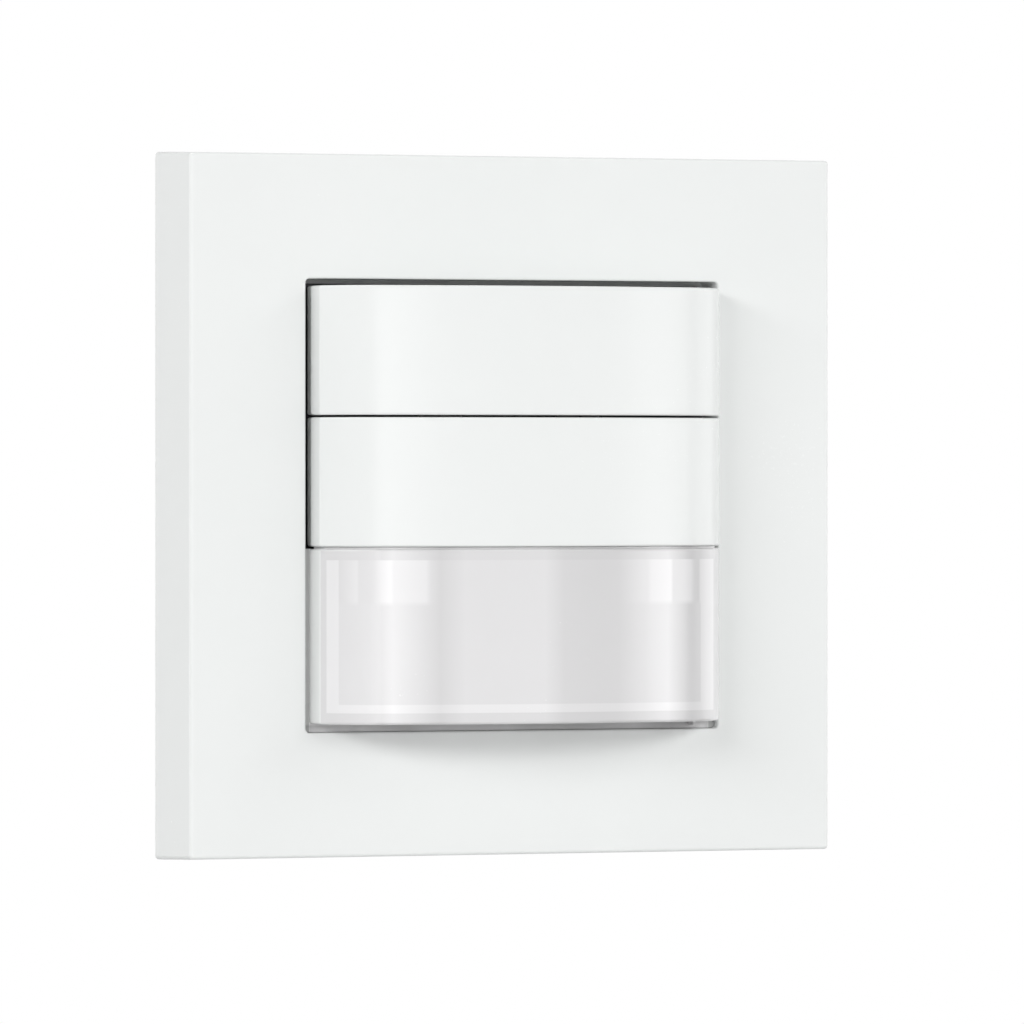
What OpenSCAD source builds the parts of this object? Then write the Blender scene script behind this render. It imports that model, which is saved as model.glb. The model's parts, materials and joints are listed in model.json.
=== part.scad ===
// Flush-mounted motion sensor light switch: two push keys above a bowed sensor lens,
// in a square cover frame, with the support ring, claws and load module behind it.
// Units are millimetres. X runs to the right, Z up and Y into the wall.
// The wall plane is Y = 0, and the front faces -Y.

/* [Cover frame] */
// How far the frame reaches past the support ring on each side
frame_lap = 4.5; // [3.8:0.1:9]
// Depth from the wall to the front face
frame_depth = 10; // [9.4:0.1:12]
// How far each side flares out towards the wall
frame_flare = 0.3; // [0:0.05:0.8]
// Rounding of the four corners
frame_corner_r = 0.9; // [0.6:0.1:3]
// Rounding of the front edge
frame_edge_r = 0.5; // [0.2:0.05:0.6]
// Thickness of the outer walls
frame_wall = 1.8; // [1.2:0.1:2.2]
// Thickness of the front plate
frame_front_t = 1.8; // [1.2:0.1:2.2]
// Thickness of the collar round the window
collar_t = 1.4; // [1:0.1:2]
// Rounding of the window's corners
window_corner_r = 0.5; // [0.3:0.1:1]

/* [Insert face] */
// Width and height of the keys and the lens together
insert_w = 50; // [49:0.2:52]
// Gap between the insert and the window's edge
window_gap = 0.8; // [0.5:0.05:1.2]
// How far the insert's side edges stand proud of the frame
edge_proud = 2.1; // [1.5:0.1:3]
// Radius of the long bow across the front
crown_r = 80; // [60:1:120]
// Radius of the two shoulders
shoulder_r = 10; // [9:0.25:11]
// Angle the shoulder turns through before it meets the side
shoulder_angle = 65; // [60:1:68]

/* [Keys] */
// Height of each key
key_h = 14.7; // [14.2:0.1:15]
// Gap between neighbouring keys and between key and lens
seam = 0.25; // [0.2:0.05:0.4]
// Thickness of a key's skin
key_skin = 1.5; // [1.2:0.1:1.8]
// Thickness of a key's top and bottom walls
key_flange = 1.2; // [0.8:0.1:1.6]
// How far a key goes in when pressed
key_travel = 0.8; // [0.4:0.1:0.9]
// Mean radius of a key spring
spring_r = 1.8; // [1.6:0.05:1.9]
// Turns of a key spring
spring_turns = 4; // [3:1:5]

/* [Lens] */
// Thickness of the lens skin
lens_skin = 1.1; // [0.9:0.1:1.4]
// Thickness of the lens's top and bottom walls
lens_flange = 1; // [0.8:0.1:1.2]
// Height of the upper row of lens segments
upper_row_h = 5.2; // [5:0.2:8]
// Segments in the upper row
upper_segments = 13; // [9:1:17]
// Segments in the lower row
lower_segments = 9; // [7:1:13]
// Thickness of the skirt that closes the gap round the lens
skirt_t = 0.6; // [0.4:0.1:0.8]
// Wall of the chamber behind the lens
chamber_wall = 1; // [0.8:0.1:1.4]

/* [Sensor body] */
// Wall of the body
body_wall = 1.4; // [1.2:0.1:1.6]
// Thickness of the deck the keys stand on
deck_t = 1.6; // [1.2:0.1:1.8]
// Thickness of both circuit boards
board_t = 1.6; // [1:0.1:1.8]
// Thickness of the rear cover
cover_t = 1.4; // [1:0.1:1.6]
// Room for parts between the board and the deck
part_room = 2; // [1.8:0.1:2.4]

/* [Support ring] */
// Thickness of the ring
ring_t = 1.2; // [1:0.1:1.5]
// Rounding of the ring's corners
ring_corner_r = 8; // [4:0.5:14]
// Metal between each rivet and the opening in the middle
rivet_edge = 1.55; // [1.3:0.05:2]
// Distance between the two box screws
screw_spacing = 60; // [59:0.5:61]
// Width of the screw slots
slot_w = 3.6; // [3.2:0.1:4]
// Length of the screw slots
slot_l = 7; // [6:0.25:8]
// Metal left outside each slot
slot_edge = 2; // [1.5:0.1:4]
// Radius of the corner holes for wall screws
corner_hole_r = 1.8; // [1.5:0.1:2.2]

/* [Claws] */
// Distance of each claw screw from the module's side
claw_offset = 3.2; // [3:0.05:3.6]
// Height of the claw screws
claw_z = -9; // [-9.5:0.1:-8.5]
// Radius of the claw screw
claw_screw_r = 1.5; // [1.25:0.05:1.6]
// Length of the claw screw behind the ring
claw_screw_l = 18.5; // [17.5:0.25:19]
// Thickness of the claw's sheet
claw_t = 0.7; // [0.6:0.05:0.9]

/* [Load module] */
// Radius of the module
module_r = 26; // [25.5:0.1:26.5]
// Room between the terminals and the module's side walls
side_room = 1.6; // [1.2:0.1:2.5]
// Depth of the module behind the wall plane
module_depth = 30; // [29:0.25:32]
// Wall of the module
module_wall = 1.6; // [1.2:0.1:1.8]
// Thickness of the lid
lid_t = 1.8; // [1.4:0.1:2]

/* [Terminals] */
// Distance between neighbouring terminals
terminal_pitch = 9; // [8.8:0.05:9.2]
// Height of a terminal
terminal_h = 12; // [11.5:0.1:13]
// Radius of a wire entry
wire_r = 1.6; // [1.3:0.05:1.7]
// How far the wire goes in
wire_depth = 8.6; // [7.5:0.1:9]
// How far a release lever goes in
lever_travel = 1.6; // [1:0.1:1.8]

/* [Hidden] */
$fn = 48;

// Colours
white = [0.93, 0.94, 0.94];
milky = [0.88, 0.89, 0.9];
dark = [0.16, 0.16, 0.17];
grey = [0.55, 0.56, 0.58];
steel = [0.72, 0.73, 0.75];
brass = [0.78, 0.66, 0.36];
green = [0.1, 0.36, 0.2];
orange = [0.86, 0.45, 0.12];
red = [0.75, 0.1, 0.1];
yellow = [0.72, 0.62, 0.2];
blue = [0.12, 0.16, 0.4];
brown = [0.3, 0.2, 0.12];

eps = 0.01;   // overlap of joined pieces
past = 1;     // how far a cut runs past a face
fit = 0.3;    // clearance round loose pieces
slide = 0.05; // clearance of turning and sliding pins

// Depths, from the support ring forwards
claw_head_h = 1.9;
head_room = 0.7;
body_rear = -ring_t - claw_head_h - head_room;
cover_rear = body_rear + cover_t;
board_front = body_rear - board_t;
deck_rear = board_front - part_room;
deck_front = deck_rear - deck_t;
ledge_t = 1.2;
flange_t = 1.2;
flange_play = 0.5;
ledge_rear = body_rear - 2 * fit;
ledge_front = ledge_rear - ledge_t;
flange_front = ledge_front - flange_t;
key_stop = 0.2;
key_rear = flange_front - key_travel - key_stop;
flange_rear = deck_front - key_travel - key_stop;

// Bowed front: edges, shoulders and crown
half_w = insert_w / 2;
y_face = -frame_depth;
y_edge = y_face - edge_proud;
shoulder_x = half_w - shoulder_r * sin(shoulder_angle);
shoulder_y = y_edge + shoulder_r * cos(shoulder_angle);
bow_gap = crown_r - shoulder_r;
crown_y = shoulder_y + sqrt(bow_gap * bow_gap - shoulder_x * shoulder_x);
bow_angle = asin(shoulder_x / bow_gap);
y_crown = crown_y - crown_r;

// Heights of the keys and the lens
upper_z1 = half_w;
upper_z0 = upper_z1 - key_h;
lower_z1 = upper_z0 - seam;
lower_z0 = lower_z1 - key_h;
lens_z1 = lower_z0 - seam;
lens_z0 = -half_w;
upper_key_z = (upper_z0 + upper_z1) / 2;
lower_key_z = (lower_z0 + lower_z1) / 2;
seam_z = upper_z0 - seam / 2;
window_w = insert_w + 2 * window_gap;
ring_w = screw_spacing + slot_l + 2 * slot_edge;
frame_w = ring_w + 2 * frame_lap;
frame_rib_t = 1.2;

// Legs, springs and posts under the keys
body_w = insert_w - 2 * key_skin - 2 * fit;
body_corner_r = 1;
leg_t = 1;
leg_w = 3.6;
leg_hook = 0.7;
leg_hook_h = 0.8;
leg_end = deck_rear + key_stop + leg_hook_h;
leg_x = body_w / 2 - body_wall - 2.6;
spring_x = leg_x - 4.2;
spring_wire = 0.2;
spring_l = 4.2;
spring_seat = deck_front - spring_l;
spring_play = 0.25;
boss_in = spring_r + spring_wire + spring_play;
boss_wall = 0.65;
boss_depth = 1;
spigot_r = spring_r - spring_wire - 0.4;
spigot_h = 1.2;
post_r = 2;
rib_t = 1;
rib_l = 18;
rib_h = 2.4;
stay_h = 4;

// Lens and the chamber behind it
lens_r = shoulder_r - lens_skin;
lens_lean = asin((shoulder_r * sin(shoulder_angle) - lens_skin) / lens_r);
lens_crown_l = (crown_r - lens_skin) * bow_angle * PI / 180;
lens_half_l = lens_crown_l + lens_r * (lens_lean - bow_angle) * PI / 180;
facet_angle = 2 * lens_half_l / lower_segments / lens_r * 180 / PI;
facet_sag = lens_r * (1 - cos(facet_angle / 2));
chamber_inset = lens_skin + facet_sag + fit;
chamber_z0 = lens_z0 + lens_flange + fit;
chamber_z1 = lens_z1 - lens_flange - fit;
chamber_x = body_w / 2 - 0.4;
lens_rib_x = half_w - 2.1;
lens_rib_w = 0.5;
lens_rib_h = window_gap - 0.2;
lens_rib_front = y_face - 1;
skirt_reach = window_w / 2 - fit;

// Parts on the sensor board
sensor_z = (lens_z0 + lens_z1) / 2;
can_r = 4.1;
can_h = 4.4;
can_wall = 0.3;
can_base_r = 4.6;
can_base_h = 0.8;
can_window = [4.2, 3.4];
lead_circle_r = 2.54;
lead_r = 0.25;
lead_room = 0.15;
dome_r = 1.5;
dome_l = 1.8;
dome_foot_r = 1.9;
dome_foot_h = 0.8;
dome_x = can_base_r + 4.4;
eye_room = 1.75;
eye_side = 3.1;
eye_h = 2 * (can_base_r + eye_room);
eye_half = dome_x + dome_foot_r + eye_side;
switch_w = 6.2;
switch_h = 3.4;
switch_front = board_front - switch_h;
switch_floor = 0.8;
plunger_r = 1.7;
plunger_l = 2.6;
plunger_tip = switch_front - 1.1;
trimmer_x = 8.6;
trimmer_w = 6.4;
trimmer_floor = 0.6;
trimmer_front = deck_rear + slide;
spindle_r = 1.25;
dial_r = 2.6;
dial_front = deck_front + 0.1;
dial_slot_w = 0.8;
dial_slot_h = 0.7;
dial_rim = 0.5;
column_x = body_w / 2 - body_wall - 2.2;
column_z = [seam_z, body_wall + 3.6 - body_w / 2];
column_r = 2;
column_floor = 0.6;
cover_screw_r = 0.75;
cover_head_r = 1.7;
cover_head_h = 0.8;
cover_cross_w = 0.4;
chip_w = 7;
chip_h = 1;
chip_lift = 0.2;
chip_gap = 2;
chip_at = [-trimmer_x - 1.4, seam_z - trimmer_w / 2 - chip_gap - chip_w / 2];
chip_pitch = 0.9;
chip_pin_w = 0.4;
chip_pin_l = 1.1;

// Plug between the sensor head and the load module
pin_pitch = 2.54;
pin_w = 0.64;
pin_room = 0.12;
plug_z = 12;
plug_w = 10.4;
plug_h = 5.3;
plug_t = 2.5;
plug_room = 0.9;
socket_front = 0.5;
pin_end = 6;
pin_tail = 0.5;

// Terminals and the module's outline
terminal_w = terminal_pitch - 0.4;
row_half = 1.5 * terminal_pitch + terminal_w / 2;
module_flat = row_half + side_room + module_wall;
inner_r = module_r - module_wall;
inner_flat = module_flat - module_wall;
terminal_z = terminal_h / 2 - sqrt(pow(inner_r - 2 * fit, 2) - row_half * row_half);
terminal_rear = module_depth + 0.6;
funnel = 0.8;
wire_z = terminal_z - 2.8;
lever_z = terminal_z + 3;
lever_w = 3;
lever_l = 9;
clip_z = terminal_z - 0.2;
clip_t = 0.6;
clip_w = 4.4;
clip_room = 0.15;
clip_cover = 1.4;
lever_room = 0.2;
lever_out = 0.6;

// Claws
claw_x = module_flat + claw_offset;
claw_pivot = [claw_x + 0.8, 2.6];
pivot_r = 0.75;
nut_half = claw_screw_r + 0.7;
nut_rest = 15;
nut_t = 2.2;
claw_gap = nut_half;
ear_in = claw_gap + claw_t + fit;
ear_t = 0.9;
ear_r = 1.8;
claw_lug_r = 1.4;
claw_back = 0.9;
claw_head_r = claw_screw_r + 1.2;
claw_cross_w = 0.7;
web_start = 5;
web_end = 18.4;
web_near = claw_screw_r + 0.18;
web_far = nut_half + 0.15;
web_t = 0.55;
tooth = 0.3;
tooth_l = 2;
tooth_at = [1.8, 0.5];
claw_tip = [1, 0.8];
claw_bend = 2;

// Load module
power_room = 14;
power_front = module_depth - power_room;
power_rear = power_front + board_t;
rim_h = 1.4;
rim_t = 1.2;
rim_gap = 0.2;
rivet_r = 1.45;
rivet_head_r = 2.4;
rivet_head_h = 0.9;
rivet_l = 8;
rivet_boss_r = 3;
rivet_boss_end = 10;
rivet_z = module_r - 2.8;
ring_open_w = 2 * (rivet_z - rivet_r - rivet_edge);
ring_open_r = 2;
corner_hole = ring_w / 2 - ring_corner_r;
rest_w = 8;
rest_h = 5;
rest_z = rivet_z + 1.5;
vent_w = 1.2;
vent_pitch = 5;
vent_z = [4, 14];
hook_x = 12;
hook_w = 5;
hook_t = 1.2;
hook_lip = 1.2;
hook_end = 1.4;
hook_play = 0.4;
hook_room = 0.6;

// Parts on the power board
lead_w = 0.8;
relay_w = 15;
relay_l = 10;
relay_h = 20;
relay_side = 16;
relay_x = [-relay_side, relay_w - relay_side];
relay_room = 2;
relay_z0 = -sqrt(pow(inner_r - relay_room, 2) - relay_side * relay_side);
relay_lead = 2;
relay_lift = 0.4;
relay_pad = 7;
film_w = 13;
film_l = 10.2;
film_h = 6.6;
film_corner_r = 0.8;
film_at = [0.43 * inner_r, -0.43 * inner_r];
smoothing_r = 5;
smoothing_l = 10.4;
smoothing_at = [0.45 * inner_r, 0.066 * inner_r];
sleeve_t = 0.3;
sleeve_round = [0.5, 0.6];
sleeve_lap = 1.4;
crimp = [1.2, 1.6, 2, 2.4];
choke_r = 4.4;
choke_l = 8.6;
choke_at = [-0.45 * inner_r, 0.53 * inner_r];
choke_rim = 1.2;
choke_dip = 0.5;
choke_slope = 0.2;
fuse_r = 2.3;
fuse_l = 9;
fuse_at = [0.28 * inner_r, 0.516 * inner_r];
fuse_lift = 3;
fuse_cap_l = 2;
fuse_cap_r = 2.6;
fuse_foot = 1;
varistor_r = 4.6;
varistor_t = 3;
varistor_lift = 5.6;
varistor_z = rivet_boss_r + fit - rivet_z;
varistor_lead_x = 2.5;

// Helpers
function terminal_x(k) = (k - 2.5) * terminal_pitch;

module box(x, y, z) {
    translate([x[0], y[0], z[0]]) cube([x[1] - x[0], y[1] - y[0], z[1] - z[0]]);
}

// A flat shape in the wall's plane, as thick as the two depths leave it
module slab(y0, y1) {
    translate([0, y1, 0]) rotate([90, 0, 0]) linear_extrude(y1 - y0) children();
}

// A flat shape seen from above, as tall as the two heights leave it
module upright(z0, z1) {
    translate([0, 0, z0]) linear_extrude(z1 - z0) children();
}

module rod(x, z, r, y0, y1) {
    translate([x, y0, z]) rotate([-90, 0, 0]) cylinder(r = r, h = y1 - y0);
}

module rounded_rect(w, h, r) {
    square([w - 2 * r, h], center = true);
    square([w, h - 2 * r], center = true);
    for (sx = [-1, 1], sz = [-1, 1])
        translate([sx * (w / 2 - r), sz * (h / 2 - r)]) circle(r);
}

module slot(l, w) {
    square([l - w, w], center = true);
    for (s = [-1, 1]) translate([s * (l - w) / 2, 0]) circle(w / 2);
}

module flat_round(r, flat) {
    intersection() {
        circle(r, $fn = 96);
        square([2 * flat, 2 * r + 2], center = true);
    }
}

module each_side() {
    for (s = [0, 1]) mirror([s, 0, 0]) children();
}

// Section through the bowed front, set back by an even skin and closed at the rear
module bowed_section(inset, rear) {
    side = half_w - inset;
    lean = asin((shoulder_r * sin(shoulder_angle) - inset) / (shoulder_r - inset));
    edge = shoulder_y - (shoulder_r - inset) * cos(lean);
    bow_x = (crown_r - inset) * sin(bow_angle);
    bow_y = crown_y - (crown_r - inset) * cos(bow_angle);
    intersection() {
        union() {
            intersection() {
                translate([0, crown_y]) circle(crown_r - inset, $fn = 360);
                polygon([[-bow_x, rear], [-bow_x, bow_y - half_w],
                         [bow_x, bow_y - half_w], [bow_x, rear]]);
            }
            for (s = [-1, 1]) translate([s * shoulder_x, shoulder_y])
                circle(shoulder_r - inset, $fn = 120);
            polygon([[-side, rear], [-side, edge], [-bow_x, bow_y],
                     [bow_x, bow_y], [side, edge], [side, rear]]);
        }
        translate([-side, rear - 3 * half_w]) square([2 * side, 3 * half_w]);
    }
}

// Point on the inside of the lens at a share of its curved length, from -1 to 1
function lens_point(t) =
    let (l = abs(t) * lens_half_l,
         crown_a = l / (crown_r - lens_skin) * 180 / PI,
         shoulder_a = bow_angle + (l - lens_crown_l) / lens_r * 180 / PI,
         p = l <= lens_crown_l
             ? [(crown_r - lens_skin) * sin(crown_a), crown_y - (crown_r - lens_skin) * cos(crown_a)]
             : [shoulder_x + lens_r * sin(shoulder_a), shoulder_y - lens_r * cos(shoulder_a)])
    [sign(t) * p[0], p[1]];

// Inside of the lens as a row of upright flat segments
module lens_hollow(segments, rear) {
    side = half_w - lens_skin;
    polygon(concat([[side, rear], [-side, rear]],
        [for (i = [0 : segments]) lens_point(2 * i / segments - 1)]));
}

// Cover frame
module frame_outside() {
    steps = 4;
    hull() {
        for (i = [0 : steps]) {
            a = 90 * i / steps;
            inset = frame_edge_r * (1 - sin(a));
            w = frame_w - 2 * inset;
            depth = y_face + frame_edge_r * (1 - cos(a));
            slab(depth, depth + eps)
                rounded_rect(w, w, max(frame_corner_r - inset, 0.1), $fn = 32);
        }
        slab(-eps, 0) rounded_rect(frame_w + 2 * frame_flare, frame_w + 2 * frame_flare,
                                   frame_corner_r, $fn = 32);
    }
}

module cover_frame() color(white) {
    inner = frame_w - 2 * frame_wall;
    plate = y_face + frame_front_t;
    collar_w = window_w + 2 * collar_t;
    rib_in = ring_w / 2 + fit;
    rib_z = inner / 4;
    difference() {
        union() {
            difference() {
                frame_outside();
                slab(plate, past) rounded_rect(inner, inner, frame_corner_r / 2);
            }
            // Collar round the window, with the ledge the sensor body presses on
            slab(plate - eps, ledge_rear) rounded_rect(collar_w, collar_w, collar_t);
            for (turn = [0 : 90 : 270]) rotate([0, turn, 0]) {
                // Ribs that place the frame on the support ring
                for (s = [-1, 1])
                    box([rib_in, inner / 2 + eps], [plate - eps, -fit],
                        [s * rib_z - frame_rib_t / 2, s * rib_z + frame_rib_t / 2]);
                // Web that stiffens the front plate
                box([window_w / 2 + collar_t / 2, inner / 2 + eps],
                    [plate - eps, plate + frame_rib_t], [-frame_rib_t / 2, frame_rib_t / 2]);
            }
        }
        slab(y_face - past, ledge_front) rounded_rect(window_w, window_w, window_corner_r);
        slab(ledge_front - past, past) rounded_rect(body_w + 2 * fit, body_w + 2 * fit, body_corner_r);
    }
}

// Push keys
module key(z0, z1) {
    mid = (z0 + z1) / 2;
    inner = half_w - key_skin;
    difference() {
        upright(z0, z1) bowed_section(0, key_rear);
        upright(z0 + key_flange, z1 - key_flange) bowed_section(key_skin, key_rear + past);
        box([-inner, inner], [flange_rear, key_rear + past], [z0 - past, z1 + past]);
    }
    intersection() {
        upright(z0 + eps, z1 - eps) bowed_section(key_skin / 2, leg_end + past);
        union() {
            key_post(mid);
            each_side() {
                key_spring_boss(mid);
                key_leg(mid);
            }
        }
    }
}

// Post that presses the switch, with two stiffening ribs
module key_post(mid) {
    stay = key_h / 2 - key_flange / 2;
    skin_in = y_crown + key_skin;
    rod(0, mid, post_r, y_crown, plunger_tip - slide);
    box([-rib_l / 2, rib_l / 2], [y_crown, skin_in + rib_h], [mid - rib_t / 2, mid + rib_t / 2]);
    box([-rib_t / 2, rib_t / 2], [y_crown, skin_in + stay_h], [mid - stay, mid + stay]);
}

module key_spring_boss(mid) {
    difference() {
        rod(spring_x, mid, boss_in + boss_wall, y_crown, spring_seat + boss_depth);
        rod(spring_x, mid, boss_in, spring_seat, spring_seat + boss_depth + past);
    }
}

// Leg that goes through the deck and hooks under it
module key_leg(mid) {
    z = [mid - leg_w / 2, mid + leg_w / 2];
    box([leg_x - leg_t / 2, leg_x + leg_t / 2], [y_crown, leg_end], z);
    box([leg_x, leg_x + leg_t / 2 + leg_hook], [deck_rear + key_stop, leg_end], z);
}

module upper_key() color(white) key(upper_z0, upper_z1);

module lower_key() color(white) key(lower_z0, lower_z1);

// Coil spring on a spigot of the deck
module spring(x, z) {
    sides = 6;
    per_turn = 12;
    rings = spring_turns * per_turn;
    low = deck_front - spring_wire - slide;
    high = spring_seat + spring_wire + slide;
    points = [for (i = [0 : rings], k = [0 : sides - 1])
        let (a = 360 * i / per_turn, b = 360 * k / sides,
             r = spring_r + spring_wire * cos(b),
             y = low + (high - low) * i / rings + spring_wire * sin(b))
        [x + r * cos(a), y, z + r * sin(a)]];
    skin = [for (i = [0 : rings - 1], k = [0 : sides - 1])
        let (n = (k + 1) % sides)
        [i * sides + k, i * sides + n, (i + 1) * sides + n, (i + 1) * sides + k]];
    ends = [[for (k = [sides - 1 : -1 : 0]) k],
            [for (k = [0 : sides - 1]) rings * sides + k]];
    polyhedron(points, concat(skin, ends), convexity = 8);
}

module upper_key_springs() color(steel) for (s = [-1, 1]) spring(s * spring_x, upper_key_z);

module lower_key_springs() color(steel) for (s = [-1, 1]) spring(s * spring_x, lower_key_z);

// Sensor lens: a smooth outside, two rows of flat segments inside, a skirt in the gap to the
// window, and a rib on the underside so that it goes in only one way round
module sensor_lens() color(milky) {
    low = lens_z0 + lens_flange;
    high = lens_z1 - lens_flange;
    split = high - upper_row_h;
    inner = half_w - lens_skin;
    skirt = [deck_front, deck_front + skirt_t];
    difference() {
        upright(lens_z0, lens_z1) bowed_section(0, flange_front - slide);
        upright(split, high) lens_hollow(upper_segments, flange_front + past);
        upright(low, split + eps) lens_hollow(lower_segments, flange_front + past);
        box([-inner, inner], [deck_front - slide, flange_front + past], [low, lens_z1 + past]);
    }
    difference() {
        box([-skirt_reach, skirt_reach], skirt, [-skirt_reach, lens_z1]);
        box([-inner, inner], [skirt[0] - past, skirt[1] + past], [low, lens_z1 + past]);
    }
    box([lens_rib_x - lens_rib_w / 2, lens_rib_x + lens_rib_w / 2],
        [lens_rib_front, skirt[0] + eps], [lens_z0 - lens_rib_h, lens_z0 + eps]);
}

// Chamber that keeps stray light off the sensor
module lens_chamber() color(grey) {
    inner = chamber_x - chamber_wall;
    difference() {
        intersection() {
            upright(chamber_z0, chamber_z1) bowed_section(chamber_inset, deck_front);
            box([-chamber_x, chamber_x], [y_crown, deck_front], [chamber_z0, chamber_z1]);
        }
        box([-inner, inner], [y_crown - past, deck_front + past],
            [chamber_z0 + chamber_wall, chamber_z1 - chamber_wall]);
    }
}

// Sensor body: the deck under the keys and the walls round the board
module sensor_body() color(dark) {
    inner = body_w - 2 * body_wall;
    flange_w = window_w - 2 * flange_play;
    switch_room = switch_w / 2 + fit;
    cut = [deck_front - past, deck_rear + past];
    difference() {
        union() {
            slab(deck_front, body_rear) rounded_rect(body_w, body_w, body_corner_r);
            slab(flange_front, ledge_front) rounded_rect(flange_w, flange_w, body_corner_r);
        }
        slab(deck_rear, body_rear + past) rounded_rect(inner, inner, body_corner_r / 2);
        for (z = [upper_key_z, lower_key_z]) {
            box([-switch_room, switch_room], cut, [z - switch_room, z + switch_room]);
            each_side() box([leg_x - leg_t / 2 - leg_hook - fit, leg_x + leg_t / 2 + fit], cut,
                            [z - leg_w / 2 - fit, z + leg_w / 2 + fit]);
        }
        for (s = [-1, 1]) rod(s * trimmer_x, seam_z, dial_r + fit, cut[0], cut[1]);
        box([-eye_half, eye_half], cut, [sensor_z - eye_h / 2, sensor_z + eye_h / 2]);
    }
    // Spigots for the springs
    for (s = [-1, 1], z = [upper_key_z, lower_key_z])
        rod(s * spring_x, z, spigot_r, deck_front - spigot_h, deck_front + eps);
    // Columns for the cover screws
    for (s = [-1, 1], z = column_z) difference() {
        rod(s * column_x, z, column_r, deck_rear - eps, body_rear);
        rod(s * column_x, z, cover_screw_r + slide, deck_rear + column_floor, body_rear + past);
    }
}

// Circuit board behind the deck, with its parts
module sensor_board() color(green) {
    w = body_w - 2 * body_wall - 2 * fit;
    cut = [board_front - past, body_rear + past];
    difference() {
        slab(board_front, body_rear) rounded_rect(w, w, body_corner_r / 2);
        for (s = [-1, 1], z = column_z) rod(s * column_x, z, column_r + fit, cut[0], cut[1]);
        header_grid(pin_w / 2 + pin_room, cut[0], cut[1]);
        pir_leads(lead_r + lead_room, cut[0], cut[1]);
    }
}

module pir_leads(r, y0, y1) {
    for (a = [90, 210, 330])
        rod(lead_circle_r * cos(a), sensor_z + lead_circle_r * sin(a), r, y0, y1);
}

module pir_base() color(brass) {
    rod(0, sensor_z, can_base_r, board_front - can_base_h, board_front);
    pir_leads(lead_r, board_front - eps, body_rear - lead_room);
}

module pir_can() color(steel) {
    top = board_front - can_h;
    difference() {
        rod(0, sensor_z, can_r, top, board_front - can_base_h);
        rod(0, sensor_z, can_r - can_wall, top + can_wall, board_front);
        box([-can_window[0] / 2, can_window[0] / 2], [top - past, top + past],
            [sensor_z - can_window[1] / 2, sensor_z + can_window[1] / 2]);
    }
}

module pir_window() color(dark) {
    top = board_front - can_h + slide;
    w = can_window[0] / 2 - slide;
    h = can_window[1] / 2 - slide;
    box([-w, w], [top, top + can_wall + slide], [sensor_z - h, sensor_z + h]);
}

module key_switch(z) {
    h = switch_w / 2;
    difference() {
        box([-h, h], [switch_front, board_front], [z - h, z + h]);
        rod(0, z, plunger_r + slide, switch_front - past, board_front - switch_floor);
    }
}

module plunger(z) {
    rod(0, z, plunger_r, plunger_tip, plunger_tip + plunger_l);
}

module upper_switch() color(dark) key_switch(upper_key_z);

module upper_plunger() color(orange) plunger(upper_key_z);

module lower_switch() color(dark) key_switch(lower_key_z);

module lower_plunger() color(orange) plunger(lower_key_z);

module trimmer(x) {
    h = trimmer_w / 2;
    difference() {
        box([x - h, x + h], [trimmer_front, board_front], [seam_z - h, seam_z + h]);
        rod(x, seam_z, spindle_r + slide, trimmer_front - past, board_front - trimmer_floor);
    }
}

// Dial with a screwdriver slot that runs out at one side as a pointer
module dial(x) {
    difference() {
        union() {
            rod(x, seam_z, dial_r, dial_front, trimmer_front - slide);
            rod(x, seam_z, spindle_r, trimmer_front - 2 * slide, board_front - trimmer_floor - slide);
        }
        box([x - dial_slot_w / 2, x + dial_slot_w / 2], [dial_front - past, dial_front + dial_slot_h],
            [seam_z - dial_r + dial_rim, seam_z + dial_r + past]);
    }
}

module time_trimmer() color(dark) trimmer(-trimmer_x);

module time_dial() color(white) dial(-trimmer_x);

module twilight_trimmer() color(dark) trimmer(trimmer_x);

module twilight_dial() color(white) dial(trimmer_x);

module small_dome(x) {
    foot = board_front - dome_foot_h;
    rod(x, sensor_z, dome_foot_r, foot, board_front);
    rod(x, sensor_z, dome_r, foot - dome_l, foot + eps);
    translate([x, foot - dome_l, sensor_z]) sphere(dome_r);
}

module status_led() color(red) small_dome(dome_x);

module light_sensor() color(dark) small_dome(-dome_x);

module controller() color(dark) {
    h = chip_w / 2;
    rear = board_front - chip_lift;
    box([chip_at[0] - h, chip_at[0] + h], [rear - chip_h, rear], [chip_at[1] - h, chip_at[1] + h]);
    for (i = [-3 : 3], s = [-1, 1]) {
        x = chip_at[0] + s * (h + chip_pin_l / 2 - slide);
        z = chip_at[1] + i * chip_pitch;
        box([x - chip_pin_l / 2, x + chip_pin_l / 2], [rear - slide, board_front],
            [z - chip_pin_w / 2, z + chip_pin_w / 2]);
    }
}

// Plug that joins the sensor head to the load module
module header_grid(h, y0, y1) {
    for (i = [-1.5 : 1.5], s = [-0.5, 0.5])
        box([i * pin_pitch - h, i * pin_pitch + h], [y0, y1],
            [plug_z + s * pin_pitch - h, plug_z + s * pin_pitch + h]);
}

module plug_block(room, y0, y1) {
    box([-plug_w / 2 - room, plug_w / 2 + room], [y0, y1],
        [plug_z - plug_h / 2 - room, plug_z + plug_h / 2 + room]);
}

module header_base() color(dark) difference() {
    plug_block(0, body_rear, body_rear + plug_t);
    header_grid(pin_w / 2 + slide, body_rear - past, body_rear + plug_t + past);
}

module header_pins() color(brass) header_grid(pin_w / 2, board_front - pin_tail, pin_end);

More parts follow.
